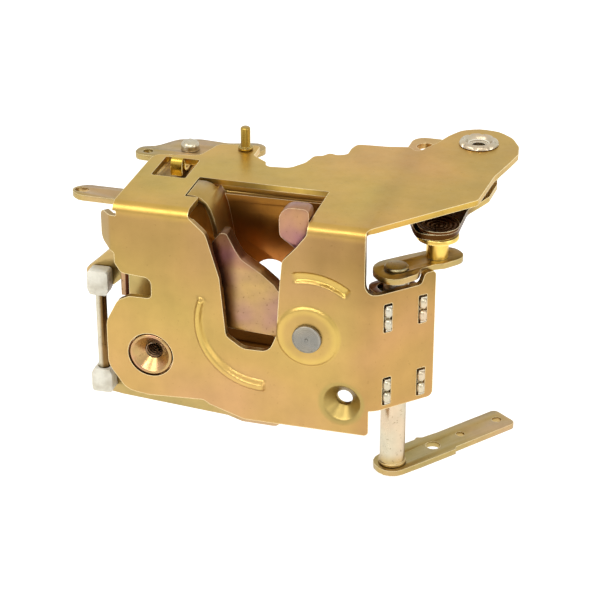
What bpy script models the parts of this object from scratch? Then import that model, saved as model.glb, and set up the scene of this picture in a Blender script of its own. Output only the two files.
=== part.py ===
"""Car door lock: a folded steel case with fork, pawl, levers, link rod and crank.

Frame: X to the right along the door face, Y back into the door, Z up. The origin is on
the flat front face just below the throat, on its centre line. Sizes are in metres.
"""

import bpy
import bmesh
from math import atan2, cos, hypot, pi, radians, sin, tan
from mathutils import Matrix, Vector

mm = 0.001

# Sheet and fits
SHEET = 2.0 * mm
GAP = 0.3 * mm
BORE_FIT = 0.3 * mm

# Case plate
TOP_Z = 51.0 * mm
TOP_BEND_R = 3.5 * mm
LEFT_X = -46.0 * mm
BOTTOM_Z = -21.4 * mm
FLANGE_START_X = 36.8 * mm
FLANGE_BEND_R = 7.5 * mm
FLANGE_ANGLE = radians(45)
FLANGE_LENGTH = 22.8 * mm
FLANGE_BOTTOM_Z = -12.3 * mm
FLANGE_TOP_Z = 29.3 * mm
EAR_BEND_R = 2.5 * mm
EAR_ANGLE = radians(45)
EAR_LENGTH = 7.5 * mm
NOTCH_BACK_Y = 26.8 * mm
HOOK_WINDOW = (-41.4 * mm, -29.6 * mm, 24.6 * mm, 40.2 * mm)

# Pressed forms of the front face
RIB_CENTRE = (3.3 * mm, 13.5 * mm)
RIB_R = 21.3 * mm
RIB_WIRE = 1.6 * mm
RIB_PROUD = 1.0 * mm
BEAD_R = 20.9 * mm
BEAD_DEPTH = 0.9 * mm
BOSS_R = 9.5 * mm
BOSS_PROUD = 0.8 * mm
DIMPLE = (29.6 * mm, -10.7 * mm)
DIMPLE_R = 6.3 * mm
DIMPLE_DEPTH = 4.2 * mm
DIMPLE_HOLE_R = 2.7 * mm

# Layers behind the face
FORK_Y = 3.4 * mm
FORK_T = 5.3 * mm
RELEASE_Y = 9.5 * mm
ROCKER_Y = 13.4 * mm
BACK_Y = 26.8 * mm

# Pivots on the door face, as (X, Z)
FORK_PIVOT = (18.5 * mm, 12.0 * mm)
POST = (-34.8 * mm, -2.1 * mm)
LINK_DX = -20.7 * mm
LINK_DZ = -18.2 * mm
LINK_LENGTH = 38.6 * mm
PAWL_PIN = (-24.5 * mm, -10.4 * mm)
FORK_STOP = (23.0 * mm, 43.0 * mm)
RELEASE_TOP_Z = 45.0 * mm

# Pins and posts
RIVET_R = 3.9 * mm
RIVET_HEAD_R = 4.8 * mm
RIVET_HEAD_T = 1.2 * mm
BUSH_WALL = 1.2 * mm
POST_R = 5.0 * mm
INSERT_R = 7.3 * mm
INSERT_BORE_R = 2.5 * mm
PIN_R = 2.5 * mm
ROD_R = 1.9 * mm

# Lock lever, seen from above as (X, Y)
LOCK_PIVOT = (-37.7 * mm, 54.3 * mm)
LOCK_TOP_Z = 48.4 * mm
HOOK_W = 4.3 * mm
HOOK_T = 1.5 * mm
GUIDE_PIN = (-17.8 * mm, 53.3 * mm)
GUIDE_PIN_R = 1.65 * mm
GUIDE_PIN_H = 8.0 * mm

# Crank with its vertical shaft
SHAFT_BEHIND = 6.6 * mm
SHAFT_ALONG = 12.1 * mm
SHAFT_R = 4.15 * mm
SHAFT_FIT = 0.55 * mm
TENON_R = 3.0 * mm
BRACKET_ALONG = 11.65 * mm
BRACKET_SPACING = 12.9 * mm
BRACKET_WALL = 2.4 * mm
BRACKET_WEB = 2.0 * mm
BRACKET_LOW = -12.0 * mm
BRACKET_HIGH = 27.0 * mm
TAB_ROWS = (-10.2, 16.1)
TAB_HEIGHT = 8.8
FLAG_Z = 31.5 * mm
CRANK_T = 2.0 * mm
FLAG_ANGLE = radians(47)
LOWER_ANGLE = radians(52)
LOWER_Z = -39.7 * mm
CRANK_PIN_REACH = 16.0 * mm
CRANK_PIN_ANGLE = radians(49)
CRANK_PIN_R = 3.6 * mm
SPIGOT_R = 1.8 * mm

# Arm lever under the arm of the case
STUD = (56.7 * mm, 78.5 * mm)
STUD_R = 3.2 * mm
STUD_BORE_R = 2.3 * mm
ARM_Z = 41.6 * mm

SPRING_WIRE = 1.1 * mm

FRONT_TOP_Z = TOP_Z - TOP_BEND_R
TOP_ARC = TOP_BEND_R * pi / 2
FLANGE_ARC = FLANGE_BEND_R * FLANGE_ANGLE
EAR_ARC = EAR_BEND_R * EAR_ANGLE
FLANGE_CORNER_X = FLANGE_START_X + FLANGE_BEND_R * tan(FLANGE_ANGLE / 2)
CRANK_PIVOT = (POST[0], POST[1] + LINK_LENGTH)
LOWER_PIN = (POST[0] + LINK_DX, POST[1] + LINK_DZ)
UPPER_PIN = (LOWER_PIN[0], LOWER_PIN[1] + LINK_LENGTH)
ROD_Y = ROCKER_Y - ROD_R - GAP

PARTS = None
CUTTERS = None


def start_scene():
    """Empties the scene and makes the two collections."""
    global PARTS, CUTTERS
    for obj in list(bpy.data.objects):
        bpy.data.objects.remove(obj, do_unlink=True)
    PARTS = bpy.data.collections.new("car_door_lock")
    CUTTERS = bpy.data.collections.new("cutters")
    bpy.context.scene.collection.children.link(PARTS)
    bpy.context.scene.collection.children.link(CUTTERS)


def make_material(name, color, roughness, metallic):
    material = bpy.data.materials.new(name)
    material.use_nodes = True
    shader = material.node_tree.nodes["Principled BSDF"]
    shader.inputs["Base Color"].default_value = (*color, 1.0)
    shader.inputs["Roughness"].default_value = roughness
    shader.inputs["Metallic"].default_value = metallic
    return material


def rounded(corners):
    """Outline points in metres from (x, y, fillet radius) corners in millimetres."""
    points = []
    count = len(corners)
    for i, (x, y, r) in enumerate(corners):
        before = Vector(corners[i - 1][:2])
        here = Vector((x, y))
        after = Vector(corners[(i + 1) % count][:2])
        to_before = (before - here).normalized()
        to_after = (after - here).normalized()
        angle = to_before.angle(to_after)
        if r <= 0 or angle > pi - 0.03:
            points.append(here * mm)
            continue
        reach = min((before - here).length, (after - here).length) * 0.499
        setback = min(r / tan(angle / 2), reach)
        radius = setback * tan(angle / 2)
        centre = here + (to_before + to_after).normalized() * (radius / sin(angle / 2))
        start = here + to_before * setback - centre
        turn = pi - angle
        steps = max(2, round(turn / radians(20)))
        side = 1 if to_before.cross(to_after) < 0 else -1
        for k in range(steps + 1):
            arm = Matrix.Rotation(side * turn * k / steps, 2) @ start
            points.append((centre + arm) * mm)
    return points


def circle(centre, radius, steps=24):
    x, y = centre
    return [
        Vector((x + radius * cos(2 * pi * k / steps), y + radius * sin(2 * pi * k / steps)))
        for k in range(steps)
    ]


def arc(centre, radius, start, end, steps):
    """Points on an arc, from the angle start to the angle end in degrees."""
    x, y = centre
    angles = [radians(start + (end - start) * k / steps) for k in range(steps + 1)]
    return [Vector((x + radius * cos(a), y + radius * sin(a))) for a in angles]


def arc_corners(centre, radius, start, end, steps):
    """The same arc as plain corners in millimetres, for use inside rounded()."""
    return [(p.x / mm, p.y / mm, 0) for p in arc(centre, radius, start, end, steps)]


def front_place(y_middle):
    """A flat outline drawn in X and Z, with its middle plane at this Y."""
    return Matrix.Translation((0, y_middle, 0)) @ Matrix.Rotation(pi / 2, 4, "X")


def top_place(z_middle):
    """A flat outline drawn in X and Y, with its middle plane at this Z."""
    return Matrix.Translation((0, 0, z_middle))


def link(obj, material=None, cutter=False):
    (CUTTERS if cutter else PARTS).objects.link(obj)
    if material:
        obj.data.materials.clear()
        obj.data.materials.append(material)
    if cutter:
        obj.hide_render = True
        obj.display_type = "WIRE"
    return obj


def mesh_from_curve(curve, name, matrix):
    """Turns a filled or bevelled curve into a welded mesh with its place in the mesh."""
    helper = bpy.data.objects.new(name + "_curve", curve)
    bpy.context.scene.collection.objects.link(helper)
    bpy.context.view_layer.update()
    graph = bpy.context.evaluated_depsgraph_get()
    mesh = bpy.data.meshes.new_from_object(helper.evaluated_get(graph))
    bpy.data.objects.remove(helper, do_unlink=True)
    mesh.name = name
    shape = bmesh.new()
    shape.from_mesh(mesh)
    bmesh.ops.remove_doubles(shape, verts=shape.verts, dist=1e-6)
    bmesh.ops.transform(shape, matrix=matrix, verts=shape.verts)
    bmesh.ops.recalc_face_normals(shape, faces=shape.faces)
    shape.to_mesh(mesh)
    shape.free()
    return mesh


def flat_mesh(name, loops, thickness, matrix):
    """A filled outline with holes, extruded to its thickness."""
    curve = bpy.data.curves.new(name, "CURVE")
    curve.dimensions = "2D"
    curve.fill_mode = "BOTH"
    curve.extrude = thickness / 2
    for loop in loops:
        spline = curve.splines.new("POLY")
        spline.points.add(len(loop) - 1)
        for point, co in zip(spline.points, loop):
            point.co = (co[0], co[1], 0, 1)
        spline.use_cyclic_u = True
    return mesh_from_curve(curve, name, matrix)


def flat_part(name, loops, thickness, matrix, material=None, cutter=False):
    mesh = flat_mesh(name, loops, thickness, matrix)
    return link(bpy.data.objects.new(name, mesh), material, cutter)


def wire_part(name, points, radius, material=None, cutter=False, resolution=2):
    """A round wire through the points."""
    curve = bpy.data.curves.new(name, "CURVE")
    curve.dimensions = "3D"
    curve.bevel_depth = radius
    curve.bevel_resolution = resolution
    curve.use_fill_caps = True
    spline = curve.splines.new("POLY")
    spline.points.add(len(points) - 1)
    for point, co in zip(spline.points, points):
        point.co = (*co, 1)
    mesh = mesh_from_curve(curve, name, Matrix.Identity(4))
    mesh.shade_smooth()
    return link(bpy.data.objects.new(name, mesh), material, cutter)


def turned_part(name, profile, place, material=None, cutter=False, steps=32):
    """Turns (radius, height) points round local Z. A profile runs down its outer side."""
    mesh = bpy.data.meshes.new(name)
    shape = bmesh.new()
    verts = [shape.verts.new((r, 0, h)) for r, h in profile]
    for a, b in zip(verts, verts[1:]):
        shape.edges.new((a, b))
    if profile[0][0] > 0:
        shape.edges.new((verts[-1], verts[0]))
    shape.to_mesh(mesh)
    shape.free()
    obj = bpy.data.objects.new(name, mesh)
    screw = obj.modifiers.new("turn", "SCREW")
    screw.axis = "Z"
    screw.steps = steps
    screw.render_steps = steps
    screw.use_merge_vertices = True
    screw.merge_threshold = 1e-6
    screw.use_smooth_shade = False
    obj.matrix_world = place
    link(obj, material, cutter)
    bpy.context.view_layer.update()
    graph = bpy.context.evaluated_depsgraph_get()
    solid = bpy.data.meshes.new_from_object(obj.evaluated_get(graph))
    obj.modifiers.clear()
    obj.data = solid
    shape = bmesh.new()
    shape.from_mesh(solid)
    bmesh.ops.remove_doubles(shape, verts=shape.verts, dist=1e-7)
    bmesh.ops.recalc_face_normals(shape, faces=shape.faces)
    shape.to_mesh(solid)
    shape.free()
    solid.shade_smooth()
    solid.set_sharp_from_angle(angle=radians(35))
    if material:
        solid.materials.clear()
        solid.materials.append(material)
    return obj


def along_y(centre, y=0.0):
    """Place for a turned part whose height runs back along Y."""
    return Matrix.Translation((centre[0], y, centre[1])) @ Matrix.Rotation(-pi / 2, 4, "X")


def along_z(centre, z=0.0):
    return Matrix.Translation((centre[0], centre[1], z))


def boolean(target, other, operation):
    modifier = target.modifiers.new(operation.lower() + "_" + other.name, "BOOLEAN")
    modifier.operation = operation
    modifier.solver = "EXACT"
    modifier.object = other


def cut(target, other):
    boolean(target, other, "DIFFERENCE")


def join(target, other):
    boolean(target, other, "UNION")


def pivot_empty(name, location, children):
    """An empty on a joint axis, which carries the pieces that turn about it."""
    empty = bpy.data.objects.new(name, None)
    empty.location = location
    PARTS.objects.link(empty)
    bpy.context.view_layer.update()
    for child in children:
        world = child.matrix_world.copy()
        child.parent = empty
        child.matrix_parent_inverse = empty.matrix_world.inverted()
        child.matrix_world = world


def tv(y_mm):
    """Blank height, in millimetres, of a point of the top panel at this Y."""
    return (FRONT_TOP_Z + TOP_ARC - TOP_BEND_R) / mm + y_mm


def fu(along_mm):
    """Blank width, in millimetres, of a point this far along the flange from its corner."""
    tangent = FLANGE_BEND_R * tan(FLANGE_ANGLE / 2)
    return (FLANGE_START_X + FLANGE_ARC - tangent) / mm + along_mm


def blank_outline():
    """Outer edge of the flat blank, from the right end of the top bend round to the flange."""
    left = LEFT_X / mm
    ear = left - EAR_LENGTH / mm
    bottom = BOTTOM_Z / mm
    flange_end = fu(FLANGE_LENGTH / mm)
    low = FLANGE_BOTTOM_Z / mm
    high = FLANGE_TOP_Z / mm
    arm = [
        (36.8, tv(1.5), 2.5), (65.4, tv(33), 3), (66.9, tv(52.7), 2), (69.8, tv(65.7), 3),
        (71.2, tv(73), 5), (70.3, tv(79.5), 6), (67, tv(86.3), 8), (61.5, tv(91), 7),
        (54.5, tv(91.7), 7), (48.8, tv(88.8), 6), (45.6, tv(83), 6), (43, tv(75.7), 4),
        (38.3, tv(65.8), 3), (35, tv(69.7), 2),
    ]
    back = [
        (27.5, tv(68), 3), (17.3, tv(67.3), 2.5), (16.3, tv(63), 2), (16.3, tv(58), 2),
        (13, tv(56.3), 2), (10.3, tv(57.6), 1.5), (8.8, tv(54.8), 1.5), (5.9, tv(53.6), 2),
        (4.6, tv(47.5), 4), (0.8, tv(41.9), 4), (-7.2, tv(41), 3), (-8.1, tv(44.5), 1.5),
        (-13.6, tv(48.8), 1.5), (-13.6, tv(57.2), 1.5), (-27.6, tv(55), 3), (-31, tv(43.8), 4),
        (-44.8, tv(41.2), 2), (left, tv(38.5), 2),
    ]
    left_side = [
        (left, 48.3, 0.3), (left + 1.2, 48.3, 0.4), (left + 1.2, 46.6, 0.4), (ear, 46.6, 2.5),
        (ear, 36.2, 3), (left, 33.6, 1), (left, 29.9, 1.5), (-43.9, 26.6, 2),
        (-33.8, 25.8, 2.5), (-33.8, 18.6, 1.5), (-41.5, 18.5, 3), (-45.5, 16.5, 4),
        (-49.6, 8.5, 7), (-49.6, -7.5, 7), (-43.5, -16.2, 6), (-36, -17.2, 5), (-17, -16.2, 2),
        (-14.8, -17.6, 2), (-3.2, bottom, 4),
    ]
    right_side = [
        (38.6, bottom, 1.5), (38.6, low - 0.5, 0.2), (36.9, low - 0.5, 0.2), (36.9, low, 0.2),
        (flange_end, low, 2), (flange_end, high + 3.7, 1.5), (fu(18.8), high + 3.7, 1.5),
        (fu(17.4), high, 1.5), (36.8, high, 3.5),
    ]
    return rounded(arm + back + left_side + right_side)


def throat_outline():
    """The throat, from the notch in the top panel over the bend and down the front."""
    notch = NOTCH_BACK_Y / mm
    return rounded([
        (-25.4, tv(notch), 0.5), (18.2, tv(notch), 0.5), (18.2, 53, 0.3), (18, 47.6, 3),
        (14.6, 42.9, 2), (9.9, 37.6, 3), (9.1, 28.6, 10), (8, 11, 3), (5.5, 4.8, 4),
        (-3.2, 4.7, 4), (-8.9, 8.5, 3), (-9.3, 13, 5), (-10.8, 29, 8), (-15.1, 43.7, 4),
        (-20.9, 48.9, 2), (-20.8, tv(11.3), 0.6), (-25.4, tv(11.3), 0.6),
    ])


def flange_slots():
    """Two rows of two upright slots for the tabs of the shaft bracket."""
    half_spacing = BRACKET_SPACING / 2 / mm
    half_width = (BRACKET_WALL / 2 + GAP) / mm
    loops = []
    for column in (-1, 1):
        middle = fu(BRACKET_ALONG / mm) + column * half_spacing
        for low in TAB_ROWS:
            high = low + TAB_HEIGHT
            room = 2 * GAP / mm
            loops.append(rounded([
                (middle - half_width, low - room, 0.5), (middle + half_width, low - room, 0.5),
                (middle + half_width, high + room, 0.5), (middle - half_width, high + room, 0.5),
            ]))
    return loops


def fold(u, v, w):
    """Place of a blank point: u across, v up, w in from the face."""
    ear_edge = LEFT_X
    if v > FRONT_TOP_Z:
        run = v - FRONT_TOP_Z
        if run < TOP_ARC:
            a = run / TOP_BEND_R
            return (u, TOP_BEND_R - (TOP_BEND_R - w) * cos(a),
                    FRONT_TOP_Z + (TOP_BEND_R - w) * sin(a))
        return (u, TOP_BEND_R + run - TOP_ARC, FRONT_TOP_Z + TOP_BEND_R - w)
    if u > FLANGE_START_X:
        x, y = bend(u - FLANGE_START_X, w, FLANGE_BEND_R, FLANGE_ANGLE)
        return (FLANGE_START_X + x, y, v)
    if u < ear_edge and v > 33 * mm:
        x, y = bend(ear_edge - u, w, EAR_BEND_R, EAR_ANGLE)
        return (ear_edge - x, y, v)
    return (u, w, v)


def bend(run, w, radius, angle):
    """Distance along and behind the face, past a bend whose outer side is the face."""
    length = radius * angle
    a = min(run, length) / radius
    rest = max(run - length, 0)
    return ((radius - w) * sin(a) + rest * cos(a), radius - (radius - w) * cos(a) + rest * sin(a))


def folded_plate(steel):
    """The case plate: one blank with its holes, cut across at the bends and folded."""
    window = [HOOK_WINDOW[0] / mm, HOOK_WINDOW[1] / mm, tv(HOOK_WINDOW[2] / mm),
              tv(HOOK_WINDOW[3] / mm)]
    left, right, low, high = window
    holes = [
        throat_outline(),
        rounded([(left, low, 0.8), (right, low, 0.8), (right, high, 0.8), (left, high, 0.8)]),
        circle(POST, INSERT_R + 2 * GAP, 32),
        circle((GUIDE_PIN[0], tv(GUIDE_PIN[1] / mm) * mm), GUIDE_PIN_R + GAP, 12),
        circle((STUD[0], tv(STUD[1] / mm) * mm), STUD_R + GAP, 24),
    ]
    mesh = flat_mesh("lock_plate", [blank_outline()] + holes + flange_slots(), SHEET,
                     Matrix.Identity(4))
    shape = bmesh.new()
    shape.from_mesh(mesh)
    top_steps, flange_steps, ear_steps = 5, 4, 2
    lines = [("v", FRONT_TOP_Z + TOP_ARC * k / top_steps) for k in range(top_steps + 1)]
    lines += [("u", FLANGE_START_X + FLANGE_ARC * k / flange_steps)
              for k in range(flange_steps + 1)]
    lines += [("u", LEFT_X - EAR_ARC * k / ear_steps) for k in range(ear_steps + 1)]
    for axis, value in lines:
        along_u = axis == "u"
        point = (value, 0, 0) if along_u else (0, value, 0)
        normal = (1, 0, 0) if along_u else (0, 1, 0)
        geometry = shape.verts[:] + shape.edges[:] + shape.faces[:]
        bmesh.ops.bisect_plane(shape, geom=geometry, dist=1e-7, plane_co=point, plane_no=normal)
    for vert in shape.verts:
        u, v, w = vert.co
        vert.co = fold(u, v, w + SHEET / 2)
    bmesh.ops.recalc_face_normals(shape, faces=shape.faces)
    shape.to_mesh(mesh)
    shape.free()
    return link(bpy.data.objects.new("lock_plate", mesh), steel)


def press_forms(plate):
    """The raised rib and boss, the sunk bead and the countersunk dimple of the front."""
    for points, depth in ((arc(RIB_CENTRE, RIB_R, 158, 273, 18), -RIB_PROUD),
                          (arc(FORK_PIVOT, BEAD_R, 52, 104, 9), BEAD_DEPTH)):
        raised = depth < 0
        offset = (RIB_WIRE + depth) if raised else (depth - RIB_WIRE)
        path = [(p.x, offset, p.y) for p in points]
        name = "rib_form" if raised else "bead_form"
        form = wire_part(name, path, RIB_WIRE, cutter=True)
        (join if raised else cut)(plate, form)
    boss = turned_part("boss_form", [
        (0, SHEET / 2), (BOSS_R + 0.4 * mm, SHEET / 2), (BOSS_R + 0.4 * mm, 0),
        (BOSS_R - 0.3 * mm, -BOSS_PROUD), (0, -BOSS_PROUD),
    ], along_y(FORK_PIVOT), cutter=True)
    join(plate, boss)
    rivet_hole = turned_part("rivet_hole", [
        (0, 2 * SHEET), (RIVET_R + BORE_FIT, 2 * SHEET), (RIVET_R + BORE_FIT, -2 * SHEET),
        (0, -2 * SHEET),
    ], along_y(FORK_PIVOT), cutter=True, steps=24)
    cut(plate, rivet_hole)
    wall = 1.3 * mm
    bulge = turned_part("dimple_bulge", [
        (0, DIMPLE_DEPTH + wall), (DIMPLE_HOLE_R + wall, DIMPLE_DEPTH + wall),
        (DIMPLE_R + wall, SHEET - 0.1 * mm), (DIMPLE_R + wall, SHEET / 2), (0, SHEET / 2),
    ], along_y(DIMPLE), cutter=True)
    join(plate, bulge)
    sink = turned_part("dimple_sink", [
        (0, DIMPLE_DEPTH + 2 * wall), (DIMPLE_HOLE_R, DIMPLE_DEPTH + 2 * wall),
        (DIMPLE_HOLE_R, DIMPLE_DEPTH), (DIMPLE_R, 0), (DIMPLE_R + 0.3 * mm, -0.4 * mm),
        (0, -0.4 * mm),
    ], along_y(DIMPLE), cutter=True)
    cut(plate, sink)


def fork_outline():
    """Two tines round the mouth, and the hub round the rivet, open position."""
    x, z = FORK_PIVOT
    mouth = arc_corners((x - 6 * mm, z + 18 * mm), 6.8 * mm, 205, 362, 10)
    hub = arc_corners(FORK_PIVOT, 11.2 * mm, 20, -100, 8)
    return rounded(
        [(-14.2, 39.5, 1.2), (-11.2, 43.2, 1), (-9.2, 43.2, 1), (-6.4, 37.8, 2),
         (-4.3, 34.6, 4), (2.1, 30.6, 6)] + mouth
        + [(15.8, 39.2, 3), (8.2, 44.7, 2.5), (8, 54.7, 4.4), (17.8, 54.7, 1.8),
           (17.8, 47, 4), (20.5, 38, 6), (28, 23, 8)] + hub
        + [(9.6, 3.2, 4), (6.5, 9, 2), (-4.8, 9.6, 2), (-9.5, 9.8, 1), (-9.9, 15.6, 3),
           (-10.7, 24.3, 6), (-13.2, 31.6, 6)])


def make_fork(steel, brass):
    bore = RIVET_R + BORE_FIT + BUSH_WALL + BORE_FIT
    place = front_place(FORK_Y + FORK_T / 2)
    loops = [fork_outline(), circle(FORK_PIVOT, bore)]
    fork = flat_part("fork", loops, FORK_T, place, steel)
    inner = RIVET_R + BORE_FIT
    start, end = SHEET + GAP, FORK_Y + FORK_T + GAP
    bush = turned_part("fork_bush", [
        (inner, end), (inner + BUSH_WALL, end), (inner + BUSH_WALL, start), (inner, start),
    ], along_y(FORK_PIVOT), brass)
    pivot_empty("fork_axis", (FORK_PIVOT[0], 0, FORK_PIVOT[1]), [fork, bush])


def pawl_outline():
    """A strut from its hub under the throat to the nose, just clear of the fork's sweep."""
    return rounded(arc_corners(POST, 8.2 * mm, 15, 270, 14) + [
        (-27, -13.4, 6), (-12, -17.5, 6), (0, -18.8, 6), (8, -21.5, 2), (11.6, -20.6, 1.2),
        (11.2, -16.6, 0.6), (5.2, -15.0, 3), (-2.8, -12.9, 6), (-10.8, -12.6, 4),
        (-19, -11.4, 4), (-26, -6.4, 4),
    ])


def make_pawl(steel):
    place = front_place(FORK_Y + FORK_T / 2)
    bore = circle(POST, POST_R + BORE_FIT)
    pin_hole = circle(PAWL_PIN, PIN_R - 0.6 * mm + GAP, 16)
    pawl = flat_part("pawl", [pawl_outline(), bore, pin_hole], FORK_T, place, steel)
    pivot_empty("pawl_axis", (POST[0], 0, POST[1]), [pawl])


def make_release(steel, silver):
    """Upright lever on the post with a shelf folded back at its top that becomes the arm."""
    y = RELEASE_Y + SHEET / 2
    upright = rounded(arc_corners(POST, 8.0 * mm, 180, 255, 5) + [
        (-29, -13.6, 3.5), (-21, -13.6, 3.5), (-21, -7, 3.5), (-27.4, 2, 4), (-29.4, 14, 4),
        (-30, 44.0, 0.5), (-44.5, 44.0, 0.5), (-44.9, 12, 5), (-42.8, 4, 4),
    ])
    loops = [upright, circle(POST, POST_R + BORE_FIT), circle(PAWL_PIN, PIN_R - 0.6 * mm + GAP, 16)]
    lever = flat_part("release_lever", loops, SHEET, front_place(y), steel)
    arm = rounded([
        (-30, 9.5, 0.3), (-30, 24.2, 2), (-63.9, 24.2, 4.3), (-68.2, 20, 4.3),
        (-63.9, 15.6, 4.3), (-50, 15.4, 3), (-44.5, 9.5, 0.3),
    ])
    slot = rounded([(-66.2, 18.3, 1.6), (-61.4, 18.3, 1.6), (-61.4, 21.6, 1.6),
                    (-66.2, 21.6, 1.6)])
    shelf = flat_part("release_shelf", [arm, slot], SHEET, top_place(RELEASE_TOP_Z - SHEET / 2),
                      cutter=True)
    join(lever, shelf)
    pin = turned_part("pawl_pin", rod_profile(PIN_R - 0.6 * mm, FORK_Y + GAP, RELEASE_Y + SHEET),
                      along_y(PAWL_PIN), silver, steps=20)
    pivot_empty("release_axis", (POST[0], 0, POST[1]), [lever, pin])


def rod_profile(radius, low, high, chamfer=0.3 * mm):
    return [(0, high), (radius - chamfer, high), (radius, high - chamfer),
            (radius, low + chamfer), (radius - chamfer, low), (0, low)]


def make_rocker(steel):
    x, z = LOWER_PIN[0] / mm, LOWER_PIN[1] / mm
    outline = rounded([
        (x - 4.6, z + 4.2, 3.8), (x - 4.6, z - 4.6, 3.8), (-50, -26.4, 5), (-13, -29, 3),
        (-8, -30.6, 2), (5.5, -30.8, 2.6), (5.5, -25.4, 2.6), (-8, -24.8, 2), (-19, -22, 6),
        (-26.8, -10, 6), (-26.8, 5.9, 7.5), (-42.8, 5.9, 7.5), (-43.5, -10.5, 5),
    ])
    loops = [outline, circle(POST, POST_R + BORE_FIT), circle(LOWER_PIN, ROD_R + GAP, 16)]
    rocker = flat_part("bottom_lever", loops, SHEET, front_place(ROCKER_Y + SHEET / 2), steel)
    pivot_empty("bottom_lever_axis", (POST[0], 0, POST[1]), [rocker])


def make_bell_crank(steel, silver):
    x, z = CRANK_PIVOT[0] / mm, CRANK_PIVOT[1] / mm
    px, pz = UPPER_PIN[0] / mm, UPPER_PIN[1] / mm
    outline = rounded([
        (x + 4.4, z + 4.4, 4.2), (x - 4.2, z + 4.4, 4), (px - 1.6, pz + 5.2, 4),
        (px - 5.6, pz + 1.6, 2), (px - 5.6, pz - 3.4, 2), (px + 3, pz - 4.2, 3),
        (x + 1, z - 5.2, 4), (x + 9, z - 12, 3), (x + 13, z - 8.5, 3), (x + 5.4, z - 1, 3),
    ])
    loops = [outline, circle(CRANK_PIVOT, PIN_R + BORE_FIT, 16), circle(UPPER_PIN, ROD_R + GAP, 16)]
    crank = flat_part("bell_crank", loops, SHEET, front_place(ROCKER_Y + SHEET / 2), steel)
    head = ROCKER_Y - GAP
    back = BACK_Y
    turned_part("bell_crank_rivet", [
        (0, back + SHEET + 1.2 * mm), (PIN_R + 0.8 * mm, back + SHEET + 1.2 * mm),
        (PIN_R + 1.0 * mm, back + SHEET + GAP), (PIN_R - 0.6 * mm, back + SHEET + GAP),
        (PIN_R - 0.6 * mm, back - GAP), (PIN_R + 1.2 * mm, back - GAP),
        (PIN_R + 1.2 * mm, ROCKER_Y + SHEET + GAP), (PIN_R, ROCKER_Y + SHEET + GAP),
        (PIN_R, head), (PIN_R + 1.4 * mm, head), (PIN_R + 1.4 * mm, head - 0.9 * mm),
        (PIN_R + 0.6 * mm, head - 1.3 * mm), (0, head - 1.3 * mm),
    ], along_y(CRANK_PIVOT), silver, steps=24)
    pivot_empty("bell_crank_axis", (CRANK_PIVOT[0], 0, CRANK_PIVOT[1]), [crank])


def link_path():
    """The rod runs up between the pins and turns back through both levers."""
    corner = 2.4 * mm
    back = ROCKER_Y + SHEET + 1.6 * mm
    points = []
    for pin, up in ((LOWER_PIN, 1), (UPPER_PIN, -1)):
        x, z = pin
        side = [(x, back, z), (x, ROD_Y + corner, z)]
        for k in range(1, 5):
            a = pi / 2 * k / 4
            side.append((x, ROD_Y + corner * (1 - sin(a)), z + up * corner * (1 - cos(a))))
        points += side if up == 1 else side[::-1]
    return points


def make_link(steel, plastic):
    path = link_path()
    rod = wire_part("link_rod", path, ROD_R, steel, resolution=3)
    pieces = [rod]
    for name, pin, up in (("lower_clip", LOWER_PIN, 1), ("upper_clip", UPPER_PIN, -1)):
        x, z = pin[0] / mm, pin[1] / mm
        outline = rounded([
            (x - 3.6, z - up * 3.2, 1.2), (x + 3.6, z - up * 3.2, 1.2),
            (x + 3.6, z + up * 3.6, 1.2), (x + 2.8, z + up * 5.4, 0.6),
            (x - 2.8, z + up * 5.4, 0.6), (x - 3.6, z + up * 3.6, 1.2),
        ])
        front = ROD_Y - ROD_R - 1.1 * mm
        depth = ROCKER_Y - GAP - front
        clip = flat_part(name, [outline], depth, front_place(front + depth / 2), plastic)
        channel = wire_part(name + "_channel", path, ROD_R + GAP, cutter=True, resolution=3)
        cut(clip, channel)
        pieces.append(clip)
    pivot_empty("link_axis", (LOWER_PIN[0], 0, LOWER_PIN[1]), pieces)


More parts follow.
